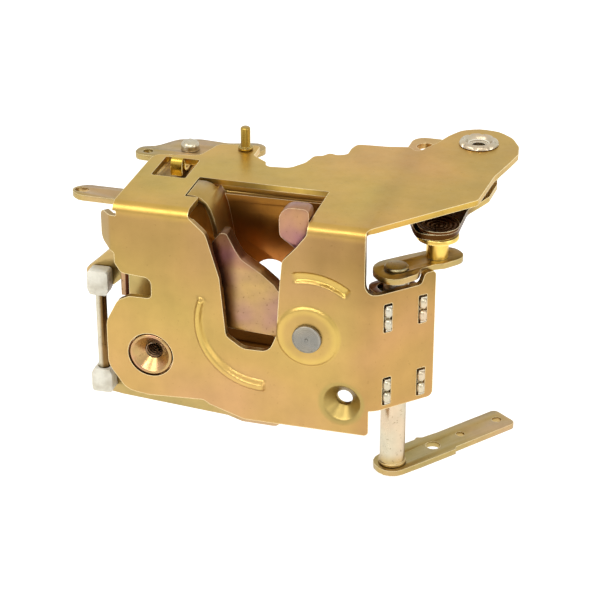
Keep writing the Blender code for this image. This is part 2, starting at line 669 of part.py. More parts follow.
def make_back_plate(steel):
    """Rear plate of the throat with the curved side wall, its flush tab and the lock tongue."""
    outline = rounded([
        (-44, -14, 6), (25.5, -14, 5), (25.5, 46.6, 1), (-44, 46.1, 0.2),
    ])
    rear_post = circle(POST, TENON_R + 0.6 * mm + GAP, 20)
    rear_rivet = circle(FORK_PIVOT, TENON_R + GAP, 20)
    rear_crank = circle(CRANK_PIVOT, PIN_R - 0.6 * mm + GAP, 16)
    striker_hole = circle((-1.0 * mm, 18.2 * mm), 6.3 * mm, 28)
    stop_hole = circle(FORK_STOP, 1.7 * mm, 16)
    loops = [outline, rear_post, rear_rivet, rear_crank, striker_hole, stop_hole]
    plate = flat_part("back_plate", loops, SHEET, front_place(BACK_Y + SHEET / 2), steel)
    wall_t = 1.5
    outer = [(-24.9, 51.0), (-22.2, 51.0), (-20.2, 50.3), (-18.4, 48.8), (-17, 46.6),
             (-15.9, 43.5), (-15.1, 40), (-13.9, 33), (-13.0, 27), (-12.2, 12)]
    inner = [(x - wall_t * 0.98, z - wall_t * 0.2) for x, z in outer[3:]]
    inner = [(-24.9, 51 - wall_t), (-22.5, 51 - wall_t), (-21.0, 49.0)] + inner
    loop = [Vector(p) * mm for p in outer + inner[::-1]]
    wall_front, wall_back = 12.2 * mm, BACK_Y + SHEET / 2
    depth = wall_back - wall_front
    wall = flat_part("throat_wall", [loop], depth, front_place(wall_front + depth / 2), cutter=True)
    trim = turned_box("tab_trim", (-26, -18.6), (24.4, 29.0), (48.9, 52))
    cut(wall, trim)
    join(plate, wall)
    x, y = LOCK_PIVOT[0] / mm, LOCK_PIVOT[1] / mm
    tongue = rounded([
        (x - 5, BACK_Y / mm + 0.2, 0), (x + 5, BACK_Y / mm + 0.2, 0), (x + 5, y + 4.6, 3.5),
        (x - 5, y + 4.6, 3.5),
    ])
    lock_hole = circle(LOCK_PIVOT, TENON_R - 0.6 * mm + GAP, 16)
    shelf = flat_part("lock_tongue", [tongue, lock_hole], SHEET,
                      top_place(46.1 * mm - SHEET / 2), cutter=True)
    join(plate, shelf)
    return plate


def turned_box(name, xs, ys, zs):
    """A box cutter between these millimetre limits."""
    mesh = bpy.data.meshes.new(name)
    shape = bmesh.new()
    bmesh.ops.create_cube(shape, size=1.0)
    for vert in shape.verts:
        vert.co = [(low if c < 0 else high) * mm
                   for c, (low, high) in zip(vert.co, (xs, ys, zs))]
    shape.to_mesh(mesh)
    shape.free()
    return link(bpy.data.objects.new(name, mesh), cutter=True)


def make_case_pins(silver, brass, steel, rubber):
    head = -BOSS_PROUD - GAP
    tail = BACK_Y + SHEET + GAP
    turned_part("fork_rivet", [
        (0, tail + 1.2 * mm), (TENON_R + 0.9 * mm, tail + 1.0 * mm), (TENON_R + 1.2 * mm, tail),
        (TENON_R, tail), (TENON_R, BACK_Y - GAP), (RIVET_R, BACK_Y - GAP), (RIVET_R, head),
        (RIVET_HEAD_R, head), (RIVET_HEAD_R, head - RIVET_HEAD_T + 0.4 * mm),
        (RIVET_HEAD_R - 0.5 * mm, head - RIVET_HEAD_T), (0.9 * mm, head - RIVET_HEAD_T),
        (0, head - RIVET_HEAD_T + 0.5 * mm),
    ], along_y(FORK_PIVOT), silver)
    inner = RIVET_R + BORE_FIT
    low, high = FORK_Y + FORK_T + 2 * GAP, BACK_Y - GAP
    turned_part("pivot_spacer", [
        (inner, high), (inner + 1.6 * mm, high), (inner + 1.6 * mm, low), (inner, low),
    ], along_y(FORK_PIVOT), steel)
    tenon = TENON_R + 0.6 * mm
    turned_part("insert_post", [
        (0, tail + 1.2 * mm), (tenon + 0.6 * mm, tail + 1.0 * mm), (tenon + 0.9 * mm, tail),
        (tenon, tail), (tenon, BACK_Y - GAP), (POST_R, BACK_Y - GAP), (POST_R, SHEET + 1.1 * mm),
        (INSERT_R + 1.6 * mm, SHEET + 1.1 * mm), (INSERT_R + 1.6 * mm, SHEET + GAP),
        (INSERT_R, SHEET + GAP), (INSERT_R, 0.3 * mm), (INSERT_R - 0.8 * mm, 0),
        (INSERT_BORE_R, 3.6 * mm), (INSERT_BORE_R, 20 * mm), (0, 21 * mm),
    ], along_y(POST), brass)
    turned_part("stop_post", [
        (0, tail + 0.9 * mm), (2.2 * mm, tail + 0.7 * mm), (2.4 * mm, tail),
        (1.4 * mm, tail), (1.4 * mm, BACK_Y - GAP), (2.2 * mm, BACK_Y - GAP),
        (2.2 * mm, FORK_Y), (0, FORK_Y),
    ], along_y(FORK_STOP), steel, steps=24)
    turned_part("stop_buffer", [
        (2.5 * mm, FORK_Y + FORK_T + 1 * mm), (3.5 * mm, FORK_Y + FORK_T + 1 * mm),
        (3.5 * mm, FORK_Y), (2.5 * mm, FORK_Y),
    ], along_y(FORK_STOP), rubber, steps=24)
    under = TOP_Z - SHEET
    turned_part("guide_pin", [
        (0, TOP_Z + GUIDE_PIN_H), (GUIDE_PIN_R - 0.4 * mm, TOP_Z + GUIDE_PIN_H),
        (GUIDE_PIN_R, TOP_Z + GUIDE_PIN_H - 0.4 * mm), (GUIDE_PIN_R, TOP_Z + 1.0 * mm),
        (GUIDE_PIN_R + 0.9 * mm, TOP_Z + 1.0 * mm), (GUIDE_PIN_R + 0.9 * mm, TOP_Z + GAP),
        (GUIDE_PIN_R, TOP_Z + GAP), (GUIDE_PIN_R, under + 0.1 * mm), (0, under + 0.1 * mm),
    ], along_z(GUIDE_PIN), brass, steps=20)


def make_lock_lever(steel, brass, silver):
    x, y = LOCK_PIVOT[0] / mm, LOCK_PIVOT[1] / mm
    outline = rounded([
        (x - 17.6, y - 9.2, 3.6), (x - 17.2, y - 2, 3.6), (x - 12, y - 0.6, 6), (x - 6.4, y + 7.4, 6),
        (x + 1, y + 9.2, 6), (x + 11, y + 8.2, 5), (x + 21.6, y + 11.4, 4.4),
        (x + 25.4, y + 7.4, 4.4), (x + 22, y + 1.6, 4), (x + 8, y - 4.8, 6), (x - 4, y - 5.6, 6),
        (x - 9.6, y - 9.4, 4),
    ])
    ear_hole = circle(((x - 13.2) * mm, (y - 5.4) * mm), 1.7 * mm, 16)
    far_hole = circle(((x + 20.4) * mm, (y + 6.5) * mm), 2.0 * mm, 16)
    pivot_hole = circle(LOCK_PIVOT, TENON_R - 0.6 * mm + GAP, 16)
    lever = flat_part("lock_lever", [outline, ear_hole, far_hole, pivot_hole], SHEET,
                      top_place(LOCK_TOP_Z - SHEET / 2), steel)
    hook = make_hook(brass)
    base = LOCK_TOP_Z + GAP + HOOK_T + GAP
    pin = TENON_R - 0.6 * mm
    low = 46.1 * mm - SHEET - GAP
    turned_part("lock_lever_rivet", [
        (0, base + 1.4 * mm), (PIN_R, base + 1.4 * mm), (PIN_R + 0.7 * mm, base + 0.7 * mm),
        (PIN_R + 0.7 * mm, base), (pin, base), (pin, low), (PIN_R + 0.5 * mm, low),
        (PIN_R + 0.5 * mm, low - 0.9 * mm), (0, low - 0.9 * mm),
    ], along_z(LOCK_PIVOT), silver, steps=24)
    pivot_empty("lock_lever_axis", (LOCK_PIVOT[0], LOCK_PIVOT[1], 0), [lever, hook])


def hook_centreline():
    """Side view of the hook, as (Y, Z) in millimetres, from the rivet to the curled tip."""
    y = LOCK_PIVOT[1] / mm
    base = (LOCK_TOP_Z + GAP + HOOK_T / 2) / mm
    over = (TOP_Z + 2 * GAP + HOOK_T / 2) / mm
    tip = [(35.8 + 2.6 * cos(a), over - 2.6 + 2.6 * sin(a))
           for a in (radians(90 + 18 * k) for k in range(6))]
    return [(y + 4.2, base), (y - 5.0, base), (y - 6.2, base + 0.5), (y - 7.6, over - 0.5),
            (y - 8.8, over)] + tip + [(33.1, over - 3.6), (33.4, over - 4.6)]


def make_hook(brass):
    points = [Vector(p) * mm for p in hook_centreline()]
    sides = []
    for i, here in enumerate(points):
        ahead = points[min(i + 1, len(points) - 1)]
        behind = points[max(i - 1, 0)]
        along = (ahead - behind).normalized()
        sides.append(Vector((-along.y, along.x)) * HOOK_T / 2)
    loop = [p + s for p, s in zip(points, sides)]
    loop += [p - s for p, s in zip(points[::-1], sides[::-1])]
    side_place = Matrix(((0, 0, 1, LOCK_PIVOT[0]), (1, 0, 0, 0), (0, 1, 0, 0), (0, 0, 0, 1)))
    hook = flat_part("lock_hook", [loop], HOOK_W, side_place, brass)
    pad = flat_part("hook_pad", [circle(LOCK_PIVOT, 4.4 * mm, 24)], HOOK_T,
                    top_place(LOCK_TOP_Z + GAP + HOOK_T / 2), cutter=True)
    join(hook, pad)
    base = LOCK_TOP_Z / mm
    x, y = LOCK_PIVOT[0], LOCK_PIVOT[1]
    hole = turned_part("hook_hole", rod_profile(TENON_R - 0.3 * mm, (base - 2) * mm, (base + 5) * mm),
                       along_z((x, y)), cutter=True, steps=16)
    cut(hook, hole)
    return hook


def flange_frame():
    """Matrix whose X runs along the flange, Y straight back from its face, Z up."""
    c, s = cos(FLANGE_ANGLE), sin(FLANGE_ANGLE)
    return Matrix(((c, -s, 0, FLANGE_CORNER_X), (s, c, 0, 0), (0, 0, 1, 0), (0, 0, 0, 1)))


def shaft_axis():
    point = flange_frame() @ Vector((SHAFT_ALONG, SHAFT_BEHIND, 0))
    return (point.x, point.y)


def make_bracket(steel):
    """U channel round the shaft, with four tabs staked through the flange."""
    wall = BRACKET_WALL / mm
    half = BRACKET_SPACING / 2 / mm - wall / 2
    web_in = (SHAFT_BEHIND + SHAFT_R + SHAFT_FIT) / mm
    web_out = web_in + BRACKET_WEB / mm
    near = (SHEET + GAP) / mm
    mid = BRACKET_ALONG / mm
    outline = rounded([
        (mid - half - wall, near, 0.3), (mid - half, near, 0.3), (mid - half, web_in, 3.4),
        (mid + half, web_in, 3.4), (mid + half, near, 0.3), (mid + half + wall, near, 0.3),
        (mid + half + wall, web_out, 4.4), (mid - half - wall, web_out, 4.4),
    ])
    low, high = BRACKET_LOW, BRACKET_HIGH
    place = flange_frame() @ Matrix.Translation((0, 0, (low + high) / 2))
    bracket = flat_part("shaft_bracket", [outline], high - low, place, steel)
    for side in (-1, 1):
        middle = mid + side * (half + wall / 2)
        for row in TAB_ROWS:
            name = f"tab_{'left' if side < 0 else 'right'}_{'low' if row < 0 else 'high'}"
            half_tab = wall / 2 - 0.2
            tab = turned_box(name, (middle - half_tab, middle + half_tab), (-0.6, near + 1.5),
                             (row, row + TAB_HEIGHT))
            nick = turned_box(name + "_nick", (middle - 2 * wall, middle + 2 * wall),
                              (-1.5, 0.35), (row + TAB_HEIGHT / 2 - 0.6, row + TAB_HEIGHT / 2 + 0.6))
            for form in (tab, nick):
                form.data.transform(flange_frame())
            join(bracket, tab)
            cut(bracket, nick)
    return bracket


def lever_place(centre, angle, z_middle):
    return (Matrix.Translation((centre[0], centre[1], z_middle))
            @ Matrix.Rotation(angle, 4, "Z"))


def make_crank(steel, silver, brass):
    axis = shaft_axis()
    flag_top = FLAG_Z + CRANK_T
    lower_top = LOWER_Z + CRANK_T
    shaft = turned_part("crank_shaft", [
        (0, flag_top + GAP + 0.8 * mm), (3.5 * mm, flag_top + GAP + 0.8 * mm),
        (3.9 * mm, flag_top + GAP + 0.4 * mm), (3.9 * mm, flag_top + GAP),
        (TENON_R, flag_top + GAP), (TENON_R, FLAG_Z - GAP), (SHAFT_R, FLAG_Z - GAP),
        (SHAFT_R, lower_top + 1.4 * mm), (SHAFT_R + 0.45 * mm, lower_top + 1.1 * mm),
        (SHAFT_R + 0.45 * mm, lower_top + GAP), (TENON_R, lower_top + GAP),
        (TENON_R, LOWER_Z - GAP), (SHAFT_R - 0.2 * mm, LOWER_Z - GAP),
        (SHAFT_R - 0.6 * mm, LOWER_Z - 1.2 * mm), (0, LOWER_Z - 1.2 * mm),
    ], along_z(axis), silver)
    hole = TENON_R + GAP
    flag = rounded([
        (-7.6, 7.6, 7), (-7.6, -7.6, 7), (3.6, -7, 4), (6.4, -4.2, 2), (12, -4.2, 3),
        (15, -5.2, 3), (24.5, -4.8, 4.4), (24.5, 4.8, 4.4), (9, 6.4, 6),
    ])
    turn = CRANK_PIN_ANGLE - FLAG_ANGLE
    pin_local = (CRANK_PIN_REACH * cos(turn), CRANK_PIN_REACH * sin(turn))
    flag_loops = [flag, circle((0, 0), hole), circle(pin_local, SPIGOT_R + GAP, 16)]
    flag_lever = flat_part("flag_lever", flag_loops, CRANK_T,
                           lever_place(axis, FLAG_ANGLE, FLAG_Z + CRANK_T / 2), steel)
    lower = rounded([
        (-6, 6, 5.6), (-6, -6, 5.6), (8, -6.5, 3), (22.3, -6.6, 0.8), (23, -5.5, 0.8),
        (50, -5.5, 2), (50, 5.5, 2), (24, 5.5, 3), (17.6, 6, 1.5), (16.3, 7.3, 1.2),
        (15, 6.4, 1.5), (6, 6.4, 3),
    ])
    lower_loops = [
        lower, circle((0, 0), hole), circle((17.5 * mm, -0.2 * mm), 2.5 * mm, 20),
        circle((29.7 * mm, 0), 1.5 * mm, 16), circle((46.0 * mm, 0), 1.7 * mm, 16),
    ]
    lower_lever = flat_part("lower_lever", lower_loops, CRANK_T,
                            lever_place(axis, LOWER_ANGLE, LOWER_Z + CRANK_T / 2), steel)
    collar = ARM_Z - GAP
    pin = turned_part("crank_pin", [
        (0, ARM_Z + SHEET + 1.5 * mm), (SPIGOT_R - 0.3 * mm, ARM_Z + SHEET + 1.5 * mm),
        (SPIGOT_R, ARM_Z + SHEET + 1.2 * mm), (SPIGOT_R, collar), (6.8 * mm, collar),
        (6.8 * mm, collar - 1.3 * mm), (CRANK_PIN_R, collar - 1.8 * mm),
        (CRANK_PIN_R, flag_top + GAP), (SPIGOT_R, flag_top + GAP), (SPIGOT_R, FLAG_Z - GAP),
        (SPIGOT_R + 1.2 * mm, FLAG_Z - GAP), (SPIGOT_R + 0.9 * mm, FLAG_Z - 1.0 * mm),
        (0, FLAG_Z - 1.0 * mm),
    ], along_z(crank_pin_place()), brass, steps=28)
    pivot_empty("crank_axis", (axis[0], axis[1], 0), [shaft, flag_lever, lower_lever, pin])


def crank_pin_place():
    axis = shaft_axis()
    return (axis[0] + CRANK_PIN_REACH * cos(CRANK_PIN_ANGLE),
            axis[1] + CRANK_PIN_REACH * sin(CRANK_PIN_ANGLE))


def make_arm_lever(steel, silver):
    """Lever under the arm: a slotted end over the crank pin and an ear with a rod hole."""
    x, y = crank_pin_place()
    px, py = x / mm, y / mm
    sx, sy = STUD[0] / mm, STUD[1] / mm
    outline = rounded([
        (px - 9.4, py - 6.2, 7.6), (px + 6.4, py - 6.2, 7.6), (px + 6.4, py + 12, 8),
        (sx + 5, sy - 16, 10), (sx + 8.2, sy - 8, 6), (sx + 8.2, sy + 8.2, 7.8),
        (sx - 9, sy + 8.2, 5), (sx - 18, sy + 14.4, 4.8), (sx - 25.6, sy + 9.5, 4.8),
        (sx - 22, sy + 3.4, 4.8), (sx - 8.6, sy - 3, 6), (sx - 6.6, sy - 16, 8),
        (px - 7.6, py + 14, 10), (px - 9.4, py + 8, 6),
    ])
    half = (SPIGOT_R + 0.7 * mm) / mm
    slot = rounded([(px - half, py - half, half), (px + half, py - half, half),
                    (px + half, py + 3.4 + half, half), (px - half, py + 3.4 + half, half)])
    ear_hole = circle((STUD[0] - 20.3 * mm, STUD[1] + 8.9 * mm), 2.3 * mm, 16)
    loops = [outline, slot, ear_hole, circle(STUD, STUD_R + BORE_FIT)]
    lever = flat_part("arm_lever", loops, SHEET, top_place(ARM_Z + SHEET / 2), steel)
    pivot_empty("arm_lever_axis", (STUD[0], STUD[1], 0), [lever])
    under = TOP_Z - SHEET
    lever_top = ARM_Z + SHEET + GAP
    turned_part("arm_stud", [
        (STUD_BORE_R, TOP_Z + 0.9 * mm), (STUD_R, TOP_Z + 1.2 * mm),
        (STUD_R + 0.5 * mm, TOP_Z + GAP), (STUD_R, TOP_Z + GAP), (STUD_R, under - GAP),
        (6.0 * mm, under - GAP), (6.0 * mm, lever_top), (STUD_R, lever_top),
        (STUD_R, ARM_Z - GAP), (5.0 * mm, ARM_Z - GAP), (5.0 * mm, ARM_Z - 2.1 * mm),
        (STUD_BORE_R, ARM_Z - 2.1 * mm),
    ], along_z(STUD), silver, steps=28)


def coil(centre, radius, start, end, turns, first_angle, axis, legs):
    """Points of a torsion spring round an axis along Y or Z, with a straight leg at each end."""
    steps = 12
    count = round(turns * steps)
    points = []
    for k in range(count + 1):
        a = first_angle + 2 * pi * turns * k / count
        u, v = centre[0] + radius * cos(a), centre[1] + radius * sin(a)
        w = start + (end - start) * k / count
        points.append((u, w, v) if axis == "Y" else (u, v, w))
    return [legs[0]] + points + [legs[1]]


def make_springs(spring_steel):
    r = RIVET_R + BORE_FIT + 1.6 * mm + SPRING_WIRE / 2 + 1.2 * mm
    x, z = FORK_PIVOT
    near, far = FORK_Y + FORK_T + 1.6 * mm, FORK_Y + FORK_T + 9.5 * mm
    wire_part("fork_spring", coil(FORK_PIVOT, r, near, far, 5.0, 0, "Y",
              [(x + r, near - 0.3 * mm, z + 12 * mm), (x + r, far + 0.3 * mm, z - 16 * mm)]),
              SPRING_WIRE / 2, spring_steel, resolution=1)
    r = POST_R + SPRING_WIRE / 2 + 0.8 * mm
    x, z = POST
    near, far = ROCKER_Y + SHEET + 1.6 * mm, ROCKER_Y + SHEET + 8.5 * mm
    wire_part("release_spring", coil(POST, r, near, far, 4.5, pi, "Y",
              [(x - r, near, z + 18 * mm), (x + r, far, z + 15 * mm)]),
              SPRING_WIRE / 2, spring_steel, resolution=1)


def main():
    start_scene()
    gold = make_material("yellow_zinc_steel", (0.60, 0.42, 0.16), 0.36, 1.0)
    tinted = make_material("rainbow_zinc_steel", (0.56, 0.38, 0.27), 0.38, 1.0)
    brass = make_material("brass_yellow_zinc", (0.66, 0.49, 0.14), 0.30, 1.0)
    silver = make_material("clear_zinc_steel", (0.62, 0.60, 0.55), 0.38, 1.0)
    spring_steel = make_material("spring_steel", (0.33, 0.29, 0.22), 0.40, 1.0)
    plastic = make_material("white_nylon", (0.80, 0.79, 0.72), 0.45, 0.0)
    rubber = make_material("black_rubber", (0.03, 0.03, 0.03), 0.7, 0.0)
    plate = folded_plate(gold)
    press_forms(plate)
    make_back_plate(gold)
    make_bracket(silver)
    make_case_pins(silver, brass, gold, rubber)
    make_fork(tinted, brass)
    make_pawl(tinted)
    make_release(gold, silver)
    make_rocker(gold)
    make_bell_crank(gold, silver)
    make_link(brass, plastic)
    make_lock_lever(gold, brass, silver)
    make_crank(gold, silver, brass)
    make_arm_lever(gold, silver)
    make_springs(spring_steel)


main()
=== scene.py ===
from math import cos, pi, radians, sin
import bmesh
import bpy
import numpy as np
from mathutils import Matrix, Vector


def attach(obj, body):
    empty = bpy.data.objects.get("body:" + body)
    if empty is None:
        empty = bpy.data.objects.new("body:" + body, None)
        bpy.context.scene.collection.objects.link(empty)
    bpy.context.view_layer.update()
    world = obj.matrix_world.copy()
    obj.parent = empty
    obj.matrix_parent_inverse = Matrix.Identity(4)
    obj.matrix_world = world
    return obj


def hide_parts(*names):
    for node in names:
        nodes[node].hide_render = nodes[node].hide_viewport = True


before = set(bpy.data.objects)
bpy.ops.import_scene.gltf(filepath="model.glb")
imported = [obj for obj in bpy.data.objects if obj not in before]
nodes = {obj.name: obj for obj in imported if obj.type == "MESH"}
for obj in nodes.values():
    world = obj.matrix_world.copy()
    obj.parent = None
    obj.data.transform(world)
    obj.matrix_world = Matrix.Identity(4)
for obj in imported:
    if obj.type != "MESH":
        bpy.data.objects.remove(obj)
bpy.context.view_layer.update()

millimetre = 0.001
scene = bpy.context.scene


# Camera, backdrop and light

view = {
    "place": (0.1696, -0.5543, 0.3180),
    "forward": (-0.2381, 0.8586, -0.4540),
    "lens": 123.0,
}
studio = {
    "floorHeight": -0.075,
    "floorHalf": 3.0,
    "floorColour": (0.93, 0.93, 0.93),
    "floorGlow": 0.32,
    "horizon": 0.62,
    "horizonAt": 0.50,
    "sky": 0.92,
    "skyAt": 0.80,
}
lamps = {
    "key_softbox": {"place": (-0.5, -0.55, 0.75), "target": (0, 0.02, 0), "size": (0.5, 0.5), "power": 3.0},
    "bend_strip": {"place": (0.15, -0.75, 0.95), "target": (0, 0, 0.05), "size": (0.9, 0.12), "power": 3.4},
    "right_fill": {"place": (0.9, -0.2, 0.35), "target": (0, 0.03, 0), "size": (0.5, 0.6), "power": 1.4},
}


def makeCamera():
    data = bpy.data.cameras.new("camera")
    data.lens = view["lens"]
    data.sensor_width = 36.0
    data.clip_start = 0.01
    data.clip_end = 20.0
    camera = bpy.data.objects.new("camera", data)
    scene.collection.objects.link(camera)
    camera.location = view["place"]
    camera.rotation_euler = Vector(view["forward"]).to_track_quat("-Z", "Y").to_euler()
    scene.camera = camera


def makeFloor():
    mesh = bpy.data.meshes.new("studio_floor")
    half = studio["floorHalf"]
    height = studio["floorHeight"]
    corners = [(-half, -half, height), (half, -half, height), (half, half, height), (-half, half, height)]
    mesh.from_pydata(corners, [], [(0, 1, 2, 3)])
    floor = bpy.data.objects.new("studio_floor", mesh)
    scene.collection.objects.link(floor)
    material = bpy.data.materials.new("studio_floor")
    material.use_nodes = True
    tree = material.node_tree
    shader = tree.nodes["Principled BSDF"]
    shader.inputs["Base Color"].default_value = (*studio["floorColour"], 1)
    shader.inputs["Roughness"].default_value = 0.9
    shader.inputs["Specular IOR Level"].default_value = 0.0
    shader.inputs["Emission Color"].default_value = (1, 1, 1, 1)
    shader.inputs["Emission Strength"].default_value = studio["floorGlow"]
    mesh.materials.append(material)


def makeWorld():
    # White to the camera, to mirrors and through glass; a grey horizon and a paler sky light the rest.
    world = bpy.data.worlds.new("studio")
    scene.world = world
    world.use_nodes = True
    tree = world.node_tree
    tree.nodes.clear()
    add = tree.nodes.new
    output = add("ShaderNodeOutputWorld")
    mix = add("ShaderNodeMixShader")
    path = add("ShaderNodeLightPath")
    white = add("ShaderNodeBackground")
    white.inputs["Color"].default_value = (1, 1, 1, 1)
    white.inputs["Strength"].default_value = 1.0
    around = add("ShaderNodeBackground")
    coordinate = add("ShaderNodeTexCoord")
    split = add("ShaderNodeSeparateXYZ")
    ramp = add("ShaderNodeValToRGB")
    shift = add("ShaderNodeMath")
    shift.operation = "MULTIPLY_ADD"
    shift.inputs[1].default_value = 0.5
    shift.inputs[2].default_value = 0.5
    for element, level in zip(ramp.color_ramp.elements, ("horizon", "sky")):
        element.position = studio[level + "At"]
        element.color = (*[studio[level]] * 3, 1)
    tree.links.new(coordinate.outputs["Generated"], split.inputs[0])
    tree.links.new(split.outputs["Z"], shift.inputs[0])
    tree.links.new(shift.outputs[0], ramp.inputs["Fac"])
    tree.links.new(ramp.outputs["Color"], around.inputs["Color"])
    seen = path.outputs["Is Camera Ray"]
    for ray in ("Is Glossy Ray", "Is Transmission Ray"):
        either = add("ShaderNodeMath")
        either.operation = "MAXIMUM"
        tree.links.new(seen, either.inputs[0])
        tree.links.new(path.outputs[ray], either.inputs[1])
        seen = either.outputs[0]
    tree.links.new(seen, mix.inputs["Fac"])
    tree.links.new(around.outputs[0], mix.inputs[1])
    tree.links.new(white.outputs[0], mix.inputs[2])
    tree.links.new(mix.outputs[0], output.inputs["Surface"])


def makeLamp(name, place, target, size, power):
    data = bpy.data.lights.new(name, "AREA")
    data.shape = "RECTANGLE"
    data.size, data.size_y = size
    data.energy = power
    lamp = bpy.data.objects.new(name, data)
    scene.collection.objects.link(lamp)
    lamp.location = place
    aim = Vector(target) - Vector(place)
    lamp.rotation_euler = aim.to_track_quat("-Z", "Y").to_euler()


scene.view_settings.view_transform = "Standard"
makeCamera()
makeFloor()
makeWorld()
for lampName, lamp in lamps.items():
    makeLamp(lampName, **lamp)
print("studio is set")


# Materials

film = {
    "tintStops": (0.34, 0.50, 0.66),
    "cloudScale": 3.7, "cloudStops": ((0.30, (0.90, 0.90, 0.90)), (0.70, (1.06, 1.05, 1.04))),
    "speckScale": 900.0, "speckStops": ((0.27, (0.55, 0.50, 0.45)), (0.36, (1, 1, 1))),
    "grainScale": 260.0, "grainSpan": (0.3, 0.7), "roughSpan": (-0.05, 0.07), "bumpDepth": 0.0002,
    "edgeRadius": 0.00045, "edgeLean": (0.995, 0.86), "edgeHighlightShare": 0.8,
    # Colour of the painted highlight on the rib, the groove and the boss.
    "paintedHighlightYellow": (0.72, 0.52, 0.115),
}


def newMaterial(name):
    material = bpy.data.materials.new(name)
    material.use_nodes = True
    tree = material.node_tree
    coordinate = tree.nodes.new("ShaderNodeTexCoord").outputs["Object"]
    return material, tree, tree.nodes["Principled BSDF"], coordinate


def noiseNode(tree, source, scale, detail, rough, stretch=(1, 1, 1)):
    mapping = tree.nodes.new("ShaderNodeMapping")
    mapping.inputs["Scale"].default_value = stretch
    tree.links.new(source, mapping.inputs["Vector"])
    noise = tree.nodes.new("ShaderNodeTexNoise")
    noise.inputs["Scale"].default_value = scale
    noise.inputs["Detail"].default_value = detail
    noise.inputs["Roughness"].default_value = rough
    tree.links.new(mapping.outputs[0], noise.inputs["Vector"])
    return noise.outputs["Fac"]


def rampNode(tree, fac, stops):
    ramp = tree.nodes.new("ShaderNodeValToRGB")
    elements = ramp.color_ramp.elements
    while len(elements) < len(stops):
        elements.new(0.5)
    for element, (position, colour) in zip(elements, stops):
        element.position = position
        element.color = (*colour, 1)
    tree.links.new(fac, ramp.inputs["Fac"])
    return ramp.outputs["Color"]


def blendNode(tree, kind, fac, a, b):
    mix = tree.nodes.new("ShaderNodeMix")
    mix.data_type = "RGBA"
    mix.blend_type = kind
    if isinstance(fac, float):
        mix.inputs["Factor"].default_value = fac
    else:
        tree.links.new(fac, mix.inputs["Factor"])
    for socket, value in ((mix.inputs[6], a), (mix.inputs[7], b)):
        if isinstance(value, tuple):
            socket.default_value = (*value, 1)
        else:
            tree.links.new(value, socket)
    return mix.outputs[2]


def timesNode(tree, value, factor):
    times = tree.nodes.new("ShaderNodeMath")
    times.operation = "MULTIPLY"
    tree.links.new(value, times.inputs[0])
    if isinstance(factor, float):
        times.inputs[1].default_value = factor
    else:
        tree.links.new(factor, times.inputs[1])
    return times.outputs[0]


def spreadNode(tree, value, start, end, low=0.0, high=1.0, kind="LINEAR"):
    spread = tree.nodes.new("ShaderNodeMapRange")
    spread.interpolation_type = kind
    spread.inputs["From Min"].default_value = start
    spread.inputs["From Max"].default_value = end
    spread.inputs["To Min"].default_value = low
    spread.inputs["To Max"].default_value = high
    tree.links.new(value, spread.inputs["Value"])
    return spread.outputs[0]


def bumpNode(tree, height, strength, shader):
    bump = tree.nodes.new("ShaderNodeBump")
    bump.inputs["Strength"].default_value = strength
    bump.inputs["Distance"].default_value = film["bumpDepth"]
    tree.links.new(height, bump.inputs["Height"])
    tree.links.new(bump.outputs[0], shader.inputs["Normal"])


def edgeHighlightMask(tree):
    # Share of the painted highlight along edges: up to the edge share on a sharp edge, 0 on a flat: how far
    # a rounded normal leans away.
    rounded = tree.nodes.new("ShaderNodeBevel")
    rounded.samples = 6
    rounded.inputs["Radius"].default_value = film["edgeRadius"]
    geometry = tree.nodes.new("ShaderNodeNewGeometry")
    lean = tree.nodes.new("ShaderNodeVectorMath")
    lean.operation = "DOT_PRODUCT"
    tree.links.new(rounded.outputs[0], lean.inputs[0])
    tree.links.new(geometry.outputs["Normal"], lean.inputs[1])
    return spreadNode(tree, lean.outputs["Value"], *film["edgeLean"], high=film["edgeHighlightShare"])


def zoneMask(tree, coordinate, axis, start, end):
    # Runs from 0 to 1 along one object axis, between two places in millimetres.
    split = tree.nodes.new("ShaderNodeSeparateXYZ")
    tree.links.new(coordinate, split.inputs[0])
    return spreadNode(tree, split.outputs[axis], start * millimetre, end * millimetre, kind="SMOOTHSTEP")


def paintedLightTint(tree, body, low):
    # Where the painted light attribute is +1 the film takes a painted yellow highlight, and where it is -1
    # it takes the low colour as painted shade.
    attribute = tree.nodes.new("ShaderNodeAttribute")
    attribute.attribute_name = "painted_light"
    paintedTone = attribute.outputs["Fac"]
    body = blendNode(tree, "MIX", paintedTone, body, film["paintedHighlightYellow"])
    return blendNode(tree, "MIX", timesNode(tree, paintedTone, -1.0), body, low)


